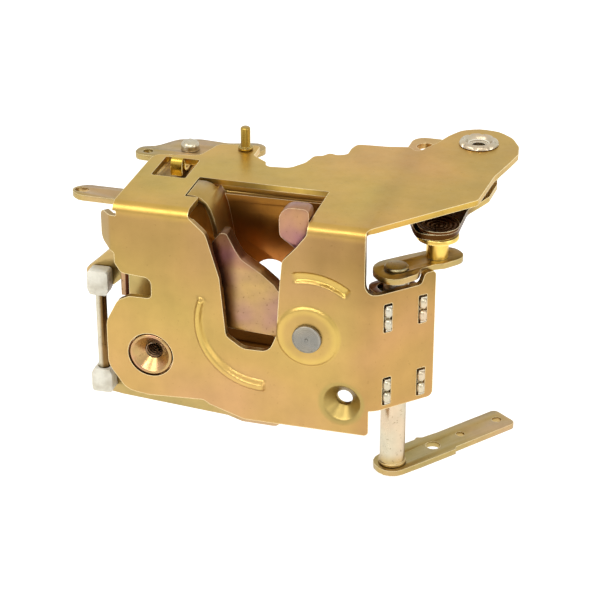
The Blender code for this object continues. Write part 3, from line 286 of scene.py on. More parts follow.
def platedSteel(name, look, zones=()):
    # Slow tints under a faint cloud and dark specks, then zones (mostly painted light and shade), painted
    # edge highlights and a rolled grain.
    material, tree, shader, coordinate = newMaterial(name)
    slow = noiseNode(tree, coordinate, look["patch"], detail=2.0, rough=0.45)
    tints = (look["cool"], look["base"], look["warm"])
    body = rampNode(tree, slow, list(zip(film["tintStops"], tints)))
    cloud = noiseNode(tree, coordinate, look["patch"] * film["cloudScale"], detail=4.0, rough=0.6)
    body = blendNode(tree, "MULTIPLY", 1.0, body, rampNode(tree, cloud, film["cloudStops"]))
    speck = noiseNode(tree, coordinate, film["speckScale"], detail=2.0, rough=0.6)
    body = blendNode(tree, "MULTIPLY", look["specks"], body, rampNode(tree, speck, film["speckStops"]))
    for axis, start, end, colour, *bounds in zones:
        mask = zoneMask(tree, coordinate, axis, start, end)
        if bounds:
            mask = timesNode(tree, mask, zoneMask(tree, coordinate, *bounds))
        body = blendNode(tree, "MULTIPLY", mask, body, colour)
    # Painted highlight: the look's edge colour laid along sharp edges.
    body = blendNode(tree, "MIX", edgeHighlightMask(tree), body, look["edge"])
    # Painted highlight and painted shade where the mesh carries the painted light attribute.
    if "low" in look:
        body = paintedLightTint(tree, body, look["low"])
    tree.links.new(body, shader.inputs["Base Color"])
    shader.inputs["Metallic"].default_value = 1.0
    grain = noiseNode(tree, coordinate, film["grainScale"], detail=5.0, rough=0.7, stretch=look["grain"])
    smoother, rougher = film["roughSpan"]
    rough = spreadNode(tree, grain, *film["grainSpan"], look["rough"] + smoother, look["rough"] + rougher)
    tree.links.new(rough, shader.inputs["Roughness"])
    bumpNode(tree, grain, look["bump"], shader)
    return material


# The edge colour of each look is its painted highlight along sharp edges.
goldLook = {
    "base": (0.560, 0.362, 0.112), "cool": (0.510, 0.356, 0.098), "warm": (0.572, 0.345, 0.138),
    "edge": (0.98, 0.86, 0.52),
    "patch": 22.0, "specks": 0.3, "grain": (1, 1, 0.2), "rough": 0.34, "bump": 0.3,
}
tintLook = {
    "base": (0.400, 0.240, 0.130), "cool": (0.450, 0.290, 0.110), "warm": (0.330, 0.170, 0.160),
    "edge": (0.98, 0.80, 0.50),
    "patch": 60.0, "specks": 1.0, "grain": (1, 1, 1), "rough": 0.34, "bump": 0.8,
}
oliveLook = {
    "base": (0.440, 0.315, 0.115), "cool": (0.360, 0.280, 0.105), "warm": (0.500, 0.330, 0.170),
    "edge": (0.92, 0.82, 0.52),
    "patch": 40.0, "specks": 0.5, "grain": (1, 0.3, 1), "rough": 0.33, "bump": 0.3,
}
brassLook = {
    "base": (0.600, 0.390, 0.060), "cool": (0.500, 0.350, 0.065), "warm": (0.640, 0.380, 0.085),
    "edge": (0.98, 0.88, 0.45),
    "patch": 60.0, "specks": 0.4, "grain": (1, 1, 0.2), "rough": 0.27, "bump": 0.2,
}
copperLook = {
    "base": (0.470, 0.290, 0.120), "cool": (0.420, 0.310, 0.120), "warm": (0.500, 0.260, 0.160),
    "edge": (0.95, 0.80, 0.50),
    "patch": 110.0, "specks": 0.5, "grain": (1, 1, 1), "rough": 0.24, "bump": 0.25,
}
silverLook = {
    "base": (0.560, 0.500, 0.360), "cool": (0.520, 0.490, 0.400), "warm": (0.600, 0.480, 0.330),
    "edge": (0.98, 0.94, 0.82),
    "patch": 60.0, "specks": 0.9, "grain": (1, 1, 0.15), "rough": 0.30, "bump": 0.3,
}
greyLook = {
    "base": (0.260, 0.235, 0.190), "cool": (0.215, 0.205, 0.180), "warm": (0.300, 0.265, 0.200),
    "edge": (0.70, 0.66, 0.55),
    "patch": 120.0, "specks": 0.9, "grain": (1, 1, 1), "rough": 0.36, "bump": 0.4,
}
wireLook = {
    "base": (0.170, 0.130, 0.080), "cool": (0.130, 0.110, 0.080), "warm": (0.210, 0.150, 0.080),
    "edge": (0.50, 0.42, 0.28),
    "patch": 90.0, "specks": 0.8, "grain": (1, 1, 1), "rough": 0.33, "bump": 0.2,
}
# The low colour is the painted shade in the pressed cone.
caseLook = {**goldLook, "low": (0.36, 0.275, 0.085)}
# The gold made far darker: painted shade on the crank pin's dished end.
cupShadeLook = {
    **goldLook,
    "base": (0.1120, 0.0362, 0.00896), "cool": (0.1020, 0.0356, 0.00784), "warm": (0.1144, 0.0345, 0.01104),
}
pinLook = {
    **brassLook,
    "base": (0.38, 0.25, 0.045), "cool": (0.30, 0.22, 0.05), "warm": (0.42, 0.24, 0.06),
}
# The brass made lighter for the crank pin's stem: painted light against the shade round it.
litStemLook = {**brassLook, "base": (0.80, 0.56, 0.13), "cool": (0.70, 0.50, 0.13)}
# Thread: the copper made lighter as painted light in the dark bore; its edge colour is a painted highlight
# on the crests and its low colour painted shade in the valleys.
paintedThreadLook = {
    **copperLook,
    "base": (0.80, 0.60, 0.40), "edge": (0.86, 0.68, 0.48), "low": (0.03, 0.02, 0.012),
}

# Zones, mostly painted light and shade and a few of the part's own tint: the axis, two places on it in
# millimetres, the factor that the colour runs to between them, and in some rows a second axis with two
# places that bounds the first.
lightShadeAndTintZones = {
    # Case: painted shade, darker up the front, over the whole front below the top bend, at its upper right
    # and at the flange's bend; painted highlight over the top bend, most at its middle; the flange painted
    # lighter.
    "case": [
        ("Z", 8, 44, (0.74, 0.73, 0.74)),
        ("Z", 46, 50.5, (1.42, 1.42, 1.02)),
        ("Z", 20, 42, (0.84, 0.82, 0.78), "X", 14, 24),
        ("Z", 50.4, 46, (0.88, 0.86, 0.92)),
        ("X", 30, 38, (0.88, 0.84, 0.86)),
        ("X", 38, 44, (1.10, 1.08, 1.08)),
        ("Z", 46, 50, (1.19, 1.22, 1.26), "X", 14, 24),
    ],
    # Back plate: its face inside the case darker and redder as painted shade, darkest at its top and its
    # bottom; its inner curved wall painted lighter.
    "backPlate": [
        ("Y", 27.6, 26.9, (1.30, 0.74, 0.40)),
        ("Z", 18, 40, (0.42, 0.48, 0.48), "Y", 27.6, 26.9),
        ("Y", 26.6, 22, (1.5, 2.3, 4.2)),
        ("Z", 8, 4, (0.12, 0.11, 0.09), "Y", 27.6, 26.9),
    ],
    # Arm lever: painted shade, darker towards its front end under the case's top.
    "armLever": [("Y", 50, 36, (0.16, 0.09, 0.07))],
    # Rod: painted shade on its right side.
    "rod": [("X", -56.1, -54.9, (0.34, 0.22, 0.10))],
    "shaft": [
        ("Z", 30.5, 31.0, (0.60, 0.55, 0.38)),
        ("Z", -32, -37, (0.85, 0.66, 0.32)),
    ],
    "bracket": [("Z", 25.2, 25.8, (0.20, 0.09, 0.06))],
    # Fork: painted shade along its left side; its own tint yellower low down and pinker high up.
    "fork": [
        ("X", -4.5, -9.0, (0.36, 0.30, 0.27)),
        ("Z", 16, 6, (1.12, 1.16, 0.85)),
        ("Z", 30, 33, (0.97, 0.84, 0.98)),
    ],
    # Upright: painted shade on its part inside the case's left edge.
    "upright": [("X", -46.3, -45.9, (0.16, 0.08, 0.06))],
}

gold = platedSteel("yellow_zinc", goldLook)
casePaintedLight = platedSteel("case_yellow_zinc", caseLook, lightShadeAndTintZones["case"])
backPlatePaintedLight = platedSteel("back_plate_painted_light_zinc", goldLook, lightShadeAndTintZones["backPlate"])
armLeverPaintedShade = platedSteel("arm_lever_painted_shade_zinc", goldLook, lightShadeAndTintZones["armLever"])
cupPaintedShade = platedSteel("cup_painted_shade_zinc", cupShadeLook)
pinGold = platedSteel("pin_zinc", pinLook)
rodPaintedShade = platedSteel("rod_painted_shade_zinc", silverLook, lightShadeAndTintZones["rod"])
shaftTint = platedSteel("shaft_zinc", silverLook, lightShadeAndTintZones["shaft"])
bracketTint = platedSteel("bracket_zinc", silverLook, lightShadeAndTintZones["bracket"])
forkTintAndShade = platedSteel("fork_tint_and_painted_shade_zinc", tintLook, lightShadeAndTintZones["fork"])
litStemBrass = platedSteel("stem_painted_light_zinc", litStemLook)
paintedThread = platedSteel("thread_painted_light_zinc", paintedThreadLook)
uprightPaintedShade = platedSteel("upright_painted_shade_zinc", tintLook, lightShadeAndTintZones["upright"])
tint = platedSteel("rainbow_zinc", tintLook)
olive = platedSteel("olive_zinc", oliveLook)
brass = platedSteel("brass_zinc", brassLook)
copper = platedSteel("copper_zinc", copperLook)
silver = platedSteel("clear_zinc", silverLook)
grey = platedSteel("rivet_grey", greyLook)
wire = platedSteel("spring_wire", wireLook)


def plasticMaterial():
    # Milky nylon: light passes a little way in, and a slow cloud tints and dents it.
    material, tree, shader, coordinate = newMaterial("milky_nylon")
    cloud = noiseNode(tree, coordinate, 220.0, detail=4.0, rough=0.6)
    colour = rampNode(tree, cloud, [(0.3, (0.48, 0.44, 0.34)), (0.6, (0.66, 0.63, 0.53))])
    tree.links.new(colour, shader.inputs["Base Color"])
    shader.inputs["Roughness"].default_value = 0.42
    shader.inputs["Subsurface Weight"].default_value = 0.25
    shader.inputs["Subsurface Radius"].default_value = (0.003, 0.0025, 0.002)
    shader.inputs["Subsurface Scale"].default_value = 0.5
    bumpNode(tree, cloud, 0.3, shader)
    return material


def rubberMaterial():
    material, tree, shader, coordinate = newMaterial("black_rubber")
    cloud = noiseNode(tree, coordinate, 500.0, detail=4.0, rough=0.6)
    colour = rampNode(tree, cloud, [(0.3, (0.012, 0.012, 0.012)), (0.7, (0.04, 0.038, 0.035))])
    tree.links.new(colour, shader.inputs["Base Color"])
    shader.inputs["Roughness"].default_value = 0.65
    return material


plastic = plasticMaterial()
rubber = rubberMaterial()
print("materials are made")


# The CAD nodes that stay in sight: each gets a finish, and all but the springs and the rod get
# small rounded edges

finish = {
    "back_plate": backPlatePaintedLight, "shaft_bracket": bracketTint, "pivot_spacer": gold, "stop_post": gold,
    "stop_buffer": rubber, "bell_crank_rivet": silver, "guide_pin": pinGold,
    "fork_spring": wire, "release_spring": wire, "fork": forkTintAndShade,
    "fork_bush": brass, "pawl": tint, "release_lever": olive, "pawl_pin": silver,
    "bottom_lever": olive, "bell_crank": olive, "link_rod": rodPaintedShade, "lower_clip": plastic,
    "upper_clip": plastic, "lock_lever": olive, "crank_shaft": shaftTint,
    "flag_lever": olive, "lower_lever": olive,
}
edges = {"width": 0.28, "segments": 2, "angle": 36, "weld": 2e-6}
smoothOnly = ("fork_spring", "release_spring", "link_rod")


def roundEdges(obj, width=edges["width"], angle=edges["angle"], corner="MITER_ARC"):
    bevel = obj.modifiers.new("edges", "BEVEL")
    bevel.width = width * millimetre
    bevel.segments = edges["segments"]
    bevel.limit_method = "ANGLE"
    bevel.angle_limit = radians(angle)
    bevel.harden_normals = True
    bevel.miter_outer = corner


def dressNode(name, material):
    obj = nodes[name]
    obj.data.materials.clear()
    obj.data.materials.append(material)
    obj.data.shade_smooth()
    weld = obj.modifiers.new("weld", "WELD")
    weld.merge_threshold = edges["weld"]
    if name not in smoothOnly:
        roundEdges(obj)


for nodeName, material in finish.items():
    dressNode(nodeName, material)
print("CAD nodes are dressed")


# Helpers for the worked pieces

def settle(piece, material, body, stands=()):
    # Gives a piece its material and its body, and hides the CAD nodes that it stands for.
    scene.collection.objects.link(piece)
    piece.data.materials.clear()
    piece.data.materials.append(material)
    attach(piece, body)
    if stands:
        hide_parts(*stands)


def reface(mesh, weld=0.0, fill=False):
    # Turns the faces outward, and where asked joins doubled points or closes open ends.
    shape = bmesh.new()
    shape.from_mesh(mesh)
    if weld:
        bmesh.ops.remove_doubles(shape, verts=shape.verts, dist=weld)
    if fill:
        bmesh.ops.holes_fill(shape, edges=shape.edges)
    bmesh.ops.recalc_face_normals(shape, faces=shape.faces)
    shape.to_mesh(mesh)
    shape.free()


def gridMesh(name, points, closed=True):
    # A surface from a (rows, columns, 3) array of places in metres, each row closed or open.
    rows, columns = points.shape[:2]
    index = np.arange(rows * columns).reshape(rows, columns)
    if closed:
        index = np.hstack([index, index[:, :1]])
    faces = np.stack([index[:-1, :-1], index[1:, :-1], index[1:, 1:], index[:-1, 1:]], -1)
    mesh = bpy.data.meshes.new(name)
    mesh.from_pydata(points.reshape(-1, 3).tolist(), [], faces.reshape(-1, 4).tolist())
    reface(mesh, weld=1e-7)
    mesh.shade_smooth()
    mesh.set_sharp_from_angle(angle=radians(40))
    return bpy.data.objects.new(name, mesh)


def meshOf(name, shape):
    mesh = bpy.data.meshes.new(name)
    shape.to_mesh(mesh)
    shape.free()
    return mesh


def placesOf(mesh):
    flat = np.empty(len(mesh.vertices) * 3)
    mesh.vertices.foreach_get("co", flat)
    return flat.reshape(-1, 3)


def markPaintedLight(mesh, paintedTone):
    painted_light = mesh.attributes.new("painted_light", "FLOAT", "POINT")
    painted_light.data.foreach_set("value", paintedTone)


def softStep(x):
    # Three times the square less twice the cube, from 0 to 1.
    x = np.clip(x, 0, 1)
    return x * x * (3 - 2 * x)


def signedPower(value, power):
    return np.sign(value) * np.abs(value) ** power


def turned(name, profile, centre, axis, steps, lift=None):
    # Turns (radius, height) rows in millimetres round Y or Z; lift adds height by angle.
    rows = np.array(profile, float)
    angle = np.linspace(0, 2 * pi, steps, endpoint=False)
    radius = rows[:, 0][:, None] * np.ones(steps)
    height = rows[:, 1][:, None] * np.ones(steps)
    if lift is not None:
        height = height + lift(radius, height, angle)
    u = centre[0] + radius * np.cos(angle)
    v = centre[1] + radius * np.sin(angle)
    places = (u, height, v) if axis == "Y" else (u, v, height)
    return gridMesh(name, np.stack(places, -1) * millimetre)


def dentedBy(values):
    # Lowers a turned head by a bell over the radius times a power of the cosine of the angle
    # times half the number of dents.
    def lift(radius, height, angle):
        bell = np.exp(-((radius - values["dentRadius"]) / values["dentWidth"]) ** 2)
        share = bell * (height > values["dentFrom"])
        return -values["dent"] * share * np.cos(values["dents"] * angle / 2) ** values["dentPower"]
    return lift


def roundedLoop(corners, step=14):
    # Outline points in millimetres from (x, y, fillet radius) corners, one every step degrees.
    points = []
    sideShare = 0.499
    nearlyStraight = pi - 0.03
    count = len(corners)
    for i, (x, y, r) in enumerate(corners):
        here = Vector((x, y))
        toBefore = Vector(corners[i - 1][:2]) - here
        toAfter = Vector(corners[(i + 1) % count][:2]) - here
        reach = min(toBefore.length, toAfter.length) * sideShare
        toBefore.normalize()
        toAfter.normalize()
        angle = toBefore.angle(toAfter)
        if r <= 0 or angle > nearlyStraight:
            points.append((x, y))
            continue
        setback = min(r / np.tan(angle / 2), reach)
        radius = setback * np.tan(angle / 2)
        centre = here + (toBefore + toAfter).normalized() * (radius / sin(angle / 2))
        start = here + toBefore * setback - centre
        turn = pi - angle
        steps = max(2, round(turn / radians(step)))
        side = 1 if toBefore.cross(toAfter) < 0 else -1
        for k in range(steps + 1):
            arm = Matrix.Rotation(side * turn * k / steps, 2) @ start
            points.append(tuple(centre + arm))
    return points


def ring(centre, radius, steps):
    # Outline points of a round hole.
    a = np.linspace(0, 2 * pi, steps, endpoint=False)
    return np.stack([centre[0] + radius * np.cos(a), centre[1] + radius * np.sin(a)], -1).tolist()


def filledSheet(name, loops, thickness):
    # A flat sheet from an outline and its holes, in millimetres, from height 0 up.
    curve = bpy.data.curves.new(name, "CURVE")
    curve.dimensions = "2D"
    curve.fill_mode = "BOTH"
    curve.extrude = thickness / 2
    for loop in loops:
        spline = curve.splines.new("POLY")
        spline.points.add(len(loop) - 1)
        for point, co in zip(spline.points, loop):
            point.co = (co[0], co[1], 0, 1)
        spline.use_cyclic_u = True
    helper = bpy.data.objects.new(name, curve)
    scene.collection.objects.link(helper)
    bpy.context.view_layer.update()
    depsgraph = bpy.context.evaluated_depsgraph_get()
    mesh = bpy.data.meshes.new_from_object(helper.evaluated_get(depsgraph))
    bpy.data.objects.remove(helper, do_unlink=True)
    shape = bmesh.new()
    shape.from_mesh(mesh)
    bmesh.ops.remove_doubles(shape, verts=shape.verts, dist=1e-4)
    bmesh.ops.translate(shape, vec=(0, 0, thickness / 2), verts=shape.verts)
    bmesh.ops.recalc_face_normals(shape, faces=shape.faces)
    bpy.data.meshes.remove(mesh)
    return shape


def sliceAt(shape, axis, places):
    # Cuts the sheet's faces at places along X (0) or Y (1), so that it can bend there.
    normal = (1, 0, 0) if axis == 0 else (0, 1, 0)
    for place in places:
        point = (place, 0, 0) if axis == 0 else (0, place, 0)
        geometry = shape.verts[:] + shape.edges[:] + shape.faces[:]
        bmesh.ops.bisect_plane(shape, geom=geometry, dist=1e-5, plane_co=point, plane_no=normal)


# Case plate: one blank, pressed and folded

# Rows of holes: x, place on the panel, radius, number of points, panel. Places are in millimetres,
# ends of the rib and the groove in degrees.
casePlate = {
    "sheet": 2.0, "frontTop": 47.5, "topBend": 3.5, "flangeAt": 36.8, "flangeBend": 7.5,
    "left": -46.0, "earLeft": -53.5, "earBend": 2.5, "earFrom": 33, "edge": 0.34, "edgeAngle": 62,
    "slice": 0.45, "sliceLow": -21.2, "sliceRight": 40.5, "sliceTop": 36.0, "bendSlices": 9,
    "earSlices": 4, "pressedBelow": 40,
    "holes": (
        (-34.8, -2.1, 7.75, 56, "front"), (-17.8, 53.3, 1.85, 24, "top"),
        (56.7, 78.5, 3.5, 32, "top"), (18.5, 12.0, 4.2, 40, "front"),
    ),
    "slotHalf": 1.6, "slotsAlong": (5.2, 18.1), "slotsUp": ((-10.8, -0.8), (15.5, 25.5)),
    # The tone of the rib, the groove and the boss is a painted highlight, and that of the dimple painted
    # shade.
    "rib": {
        "centre": (3.3, 13.5), "radius": 21.3, "start": 157.5, "end": 274.5, "half": 2.35,
        "depth": -1.75, "side": 0.8, "narrow": 0.62, "swell": 0.34, "paintedTone": 0.28,
    },
    "groove": {
        "centre": (18.5, 12.0), "radius": 20.9, "start": 50.5, "end": 106, "half": 2.1,
        "depth": 1.35, "side": 0.55, "narrow": 1.0, "swell": 0.0, "paintedTone": 0.45,
    },
    "widenOver": 80, "endFade": 5, "swellHalf": 5.2, "paintedToneEdge": 1.02, "paintedToneFade": 0.3,
    "boss": {
        "centre": (18.5, 12.3), "inner": 9.5, "outer": 10.8, "depth": -0.95,
        "paintedTone": 0.32, "paintedToneFrom": 7, "paintedToneTo": 11.2, "fadeIn": 2, "fadeOut": 1.0,
    },
    "dimple": {
        "centre": (29.6, -10.7), "hole": 2.7, "rim": 6.4, "lip": 8.4, "depth": 4.4,
        "shoulder": 0.40, "paintedTone": -0.7, "paintedToneFade": 1.5,
    },
}
topArc = casePlate["topBend"] * pi / 2
flangeArc = casePlate["flangeBend"] * pi / 4
earArc = casePlate["earBend"] * pi / 4


def blankHeight(y):
    # Height on the blank of a point of the top panel.
    return casePlate["frontTop"] + topArc - casePlate["topBend"] + y


def blankAcross(along):
    # Width on the blank of a point of the flange.
    bend = casePlate["flangeBend"]
    return casePlate["flangeAt"] + flangeArc - bend * np.tan(pi / 8) + along


def caseLoops():
    # Corners of the blank, its throat, its window and its slots, and its round holes.
    tv, fu = blankHeight, blankAcross
    left, ear = casePlate["left"], casePlate["earLeft"]
    outline = [
        (36.8, tv(1.5), 2.5), (65.4, tv(33), 3), (66.9, tv(52.7), 2), (69.8, tv(65.7), 3),
        (71.2, tv(73), 5), (70.3, tv(79.5), 6), (67, tv(86.3), 8), (61.5, tv(91), 7),
        (54.5, tv(91.7), 7), (48.8, tv(88.8), 6), (45.6, tv(83), 6), (43, tv(75.7), 4),
        (38.3, tv(65.8), 3), (35, tv(69.7), 2),
        (27.5, tv(68), 3), (17.3, tv(67.3), 2.5), (16.3, tv(63), 2), (16.3, tv(58), 2),
        (13, tv(56.3), 2), (10.3, tv(57.6), 1.5), (8.8, tv(54.8), 1.5), (5.9, tv(53.6), 2),
        (4.6, tv(47.5), 4), (0.8, tv(41.9), 4), (-7.2, tv(41), 3), (-8.1, tv(44.5), 1.5),
        (-13.6, tv(48.8), 1.5), (-13.6, tv(57.2), 1.5), (-27.6, tv(55), 3), (-31, tv(43.8), 4),
        (-44.8, tv(41.2), 2), (left, tv(38.5), 2),
        (left, 48.3, 0.3), (left + 1.2, 48.3, 0.4), (left + 1.2, 46.6, 0.4), (ear, 46.6, 2.5),
        (ear, 36.2, 3), (left, 33.6, 1), (left, 29.9, 1.5), (-43.9, 26.6, 2),
        (-33.8, 25.8, 2.5), (-33.8, 18.6, 1.5), (-41.5, 18.5, 3), (-45.5, 16.5, 4),
        (-49.6, 8.5, 7), (-49.6, -7.5, 7), (-43.5, -16.2, 6), (-36, -17.2, 5), (-17, -16.2, 2),
        (-14.8, -17.6, 2), (-3.2, -21.4, 4),
        (38.6, -21.4, 1.5), (38.6, -12.3, 0.1),
        (fu(22.8), -12.3, 2), (fu(22.8), 33, 1.5), (fu(18.8), 33, 1.5),
        (fu(17.4), 29.3, 1.5), (36.8, 29.3, 3.5),
    ]
    throat = [
        (-25.4, tv(26.8), 0.5), (18.2, tv(26.8), 0.5), (18.2, 53, 0.3), (18, 47.6, 3),
        (14.6, 42.9, 2), (9.9, 37.6, 3), (9.1, 28.6, 10), (8, 11, 3), (5.5, 4.8, 4),
        (-3.2, 4.7, 4), (-8.9, 8.5, 3), (-9.3, 13, 5), (-10.8, 29, 8), (-15.1, 43.7, 4),
        (-20.9, 48.9, 2), (-20.8, tv(11.3), 0.6), (-25.4, tv(11.3), 0.6),
    ]
    window = [(-41.4, tv(24.6), 0.8), (-29.6, tv(24.6), 0.8), (-29.6, tv(40.2), 0.8),
              (-41.4, tv(40.2), 0.8)]
    slots = []
    for middle in map(fu, casePlate["slotsAlong"]):
        near, far = middle - casePlate["slotHalf"], middle + casePlate["slotHalf"]
        for low, high in casePlate["slotsUp"]:
            slots.append([(near, low, 0.5), (far, low, 0.5), (far, high, 0.5), (near, high, 0.5)])
    rings = []
    for x, place, radius, steps, panel in casePlate["holes"]:
        height = tv(place) if panel == "top" else place
        rings.append(ring((x, height), radius, steps))
    rings.append(ring(casePlate["dimple"]["centre"], casePlate["dimple"]["hole"], steps=40))
    return [roundedLoop(corners) for corners in (outline, throat, window, *slots)] + rings


def pressedDepth(x, z):
    # Depth in from the face: a rib and a groove along arcs with soft-step sides, a soft boss and a
    # soft-lipped cone. The painted tone is above 0 for a painted highlight on the rib, the groove and the
    # boss, and below 0 for painted shade in the cone.
    depth = np.zeros_like(x)
    paintedTone = np.zeros_like(x)
    for form in (casePlate["rib"], casePlate["groove"]):
        cx, cz = form["centre"]
        angle = np.degrees(np.arctan2(z - cz, x - cx)) % 360
        wide = softStep((angle - form["start"]) / casePlate["widenOver"])
        width = form["half"] * (form["narrow"] + (1 - form["narrow"]) * wide)
        offset = np.abs(np.hypot(x - cx, z - cz) - form["radius"])
        across = offset / width
        fadeIn = softStep((angle - form["start"]) / casePlate["endFade"])
        ends = fadeIn * softStep((form["end"] - angle) / casePlate["endFade"])
        depth += form["depth"] * softStep((1 - across) / form["side"]) * ends
        depth -= form["swell"] * ends * softStep(1 - offset / casePlate["swellHalf"])
        paintedHighlight = softStep((casePlate["paintedToneEdge"] - across) / casePlate["paintedToneFade"])
        paintedTone = np.maximum(paintedTone, form["paintedTone"] * ends * paintedHighlight)
    boss = casePlate["boss"]
    r = np.hypot(x - boss["centre"][0], z - boss["centre"][1])
    depth += boss["depth"] * (1 - softStep((r - boss["inner"]) / (boss["outer"] - boss["inner"])))
    paintedHighlight = boss["paintedTone"] * softStep((boss["paintedToneTo"] - r) / boss["fadeOut"])
    paintedTone = np.maximum(paintedTone, paintedHighlight * softStep((r - boss["paintedToneFrom"]) / boss["fadeIn"]))
    dimple = casePlate["dimple"]
    hole, rim, lip, shoulder = (dimple[key] for key in ("hole", "rim", "lip", "shoulder"))
    r = np.hypot(x - dimple["centre"][0], z - dimple["centre"][1])
    cone = shoulder + (dimple["depth"] - shoulder) * np.clip((rim - r) / (rim - hole), 0, 1)
    depth += np.where(r < rim, cone, shoulder * (1 - softStep((r - rim) / (lip - rim))))
    paintedTone = np.where(r < lip, dimple["paintedTone"] * softStep((lip - r) / dimple["paintedToneFade"]), paintedTone)
    return depth, paintedTone


def foldPoints(u, v, w):
    # Lays the blank round its three bends: past each the angle is the run over the radius, and the
    # place goes with its sine and cosine. w is the depth in from the face.
    top, bend = casePlate["frontTop"], casePlate["topBend"]
    x, y, z = u.copy(), w.copy(), v.copy()
    a = np.clip((v - top) / bend, 0, pi / 2)
    rest = np.maximum(v - top - topArc, 0)
    over = v > top
    y = np.where(over, bend - (bend - w) * np.cos(a) + rest, y)
    z = np.where(over, top + (bend - w) * np.sin(a), z)
    bends = ((1, casePlate["flangeAt"], casePlate["flangeBend"], flangeArc),
             (-1, -casePlate["left"], casePlate["earBend"], earArc))
    for side, start, radius, length in bends:
        run = side * u - start
        inside = (run > 0) & (v < top) & ((side > 0) | (v > casePlate["earFrom"]))
        a = np.clip(run, 0, length) / radius
        rest = np.maximum(run - length, 0)
        across = start + (radius - w) * np.sin(a) + rest * cos(pi / 4)
        back = radius - (radius - w) * np.cos(a) + rest * sin(pi / 4)
        x = np.where(inside, side * across, x)
        y = np.where(inside, back, y)
    return np.stack([x, y, z], -1)


def makeCasePlate():
    # Depth in the sheet plus the pressed depth, then folded.
    top, flange, left = casePlate["frontTop"], casePlate["flangeAt"], -casePlate["left"]
    low, step = casePlate["sliceLow"], casePlate["slice"]
    shape = filledSheet("case_plate", caseLoops(), casePlate["sheet"])
    sliceAt(shape, 1, np.linspace(top, top + topArc, casePlate["bendSlices"]))
    sliceAt(shape, 0, np.linspace(flange, flange + flangeArc, casePlate["bendSlices"]))
    sliceAt(shape, 0, -np.linspace(left, left + earArc, casePlate["earSlices"]))
    sliceAt(shape, 0, np.arange(low, casePlate["sliceRight"], step))
    sliceAt(shape, 1, np.arange(low, casePlate["sliceTop"], step))
    mesh = meshOf("case_plate", shape)
    u, v, w = placesOf(mesh).T
    depth, paintedTone = pressedDepth(u, v)
    front = v < casePlate["pressedBelow"]
    # Painted highlight and painted shade on the pressed forms of the front panel.
    markPaintedLight(mesh, np.where(front, paintedTone, 0))
    folded = foldPoints(u, v, np.where(front, w + depth, w))
    mesh.vertices.foreach_set("co", (folded * millimetre).ravel())
    reface(mesh)
    mesh.shade_smooth()
    piece = bpy.data.objects.new("case_plate", mesh)
    roundEdges(piece, casePlate["edge"], casePlate["edgeAngle"], "MITER_SHARP")
    settle(piece, casePaintedLight, "case", ["lock_plate"])


makeCasePlate()
print("case plate is folded")


# Fork rivet: flat head with fine turned rings and a centre dip

rivetHead = {
    "centre": (18.5, 12.0), "face": -2.25, "flat": 4.35, "fall": 0.10, "roll": 0.45, "rollAt": -1.75,
    "ring": 0.035, "ringPitch": 0.62, "dip": 0.55, "dipWidth": 0.42, "nearAxis": 0.005,
    "body": [(4.8, -1.1), (3.9, -1.1), (3.9, 26.5), (3.0, 26.5), (3.0, 29.1), (4.2, 29.1),
             (3.9, 30.1), (0.01, 30.3)],
}


def makeRivet():
    # The face's height is a cosine of the radius, plus a bell at the centre and a fourth power.
    flat, roll = rivetHead["flat"], rivetHead["roll"]
    r = np.linspace(0.0, flat, 60)
    face = rivetHead["face"] + rivetHead["ring"] * np.cos(2 * pi * r / rivetHead["ringPitch"])
    face = face + rivetHead["dip"] * np.exp(-(r / rivetHead["dipWidth"]) ** 2)
    face = face + rivetHead["fall"] * (r / flat) ** 4
    quarter = np.linspace(0, pi / 2, 6)
    rim = [(flat + roll * sin(a), rivetHead["rollAt"] - roll * cos(a)) for a in quarter]
    profile = list(zip(r + rivetHead["nearAxis"], face)) + rim + rivetHead["body"]
    piece = turned("rivet_head", profile, rivetHead["centre"], "Y", steps=80)
    settle(piece, grey, "case", ["fork_rivet"])


# Threaded insert: countersunk ring on its post, and a cut thread

insert = {
    "centre": (-34.8, -2.1),
    "head": [(2.95, 3.5), (6.1, 0.35), (6.35, 0.1), (6.75, 0.05), (7.05, 0.15), (7.3, 0.5), (7.3, 2.3)],
    "body": [(6.9, 2.3), (8.9, 2.3), (8.9, 3.1), (5.0, 3.1), (5.0, 26.5), (3.6, 26.5), (3.6, 29.1),
             (4.4, 29.1), (4.1, 30.1), (0.01, 30.3)],
    "bore": 2.45, "pitch": 1.3, "tooth": 0.5, "from": 3.45, "to": 17.5, "flare": 0.2, "flareTo": 3.6,
    "shadeRate": 1.5, "shadeFrom": 0.1,
}


def makeInsert():
    # The thread's radius is a triangle wave of depth less the share of a turn.
    cx, cz = insert["centre"]
    outer = turned("threaded_insert", insert["head"] + insert["body"], insert["centre"], "Y", steps=80)
    settle(outer, copper, "case", ["insert_post"])
    depth = np.linspace(insert["from"], insert["to"], 220)[:, None]
    angle = np.linspace(0, 2 * pi, 49)[None, :]
    share = (depth / insert["pitch"] - angle / (2 * pi)) % 1.0
    flare = insert["flare"] * (depth < insert["flareTo"])
    radius = insert["bore"] + insert["tooth"] * np.abs(2 * share - 1) + flare
    x = cx + radius * np.cos(angle)
    z = cz + radius * np.sin(angle)
    points = np.stack([x, np.broadcast_to(depth, x.shape), z], -1) * millimetre
    thread = gridMesh("insert_thread", points, closed=False)
    places = placesOf(thread.data) / millimetre
    reach = np.hypot(places[:, 0] - cx, places[:, 2] - cz) - insert["bore"]
    # Painted shade, darker towards the thread's valleys.
    valleyShade = softStep(reach / insert["tooth"] * insert["shadeRate"] - insert["shadeFrom"])
    markPaintedLight(thread.data, -valleyShade)
    settle(thread, paintedThread, "case", ())


# Arm stud: hollow, with its collar staked over the arm in eight dents

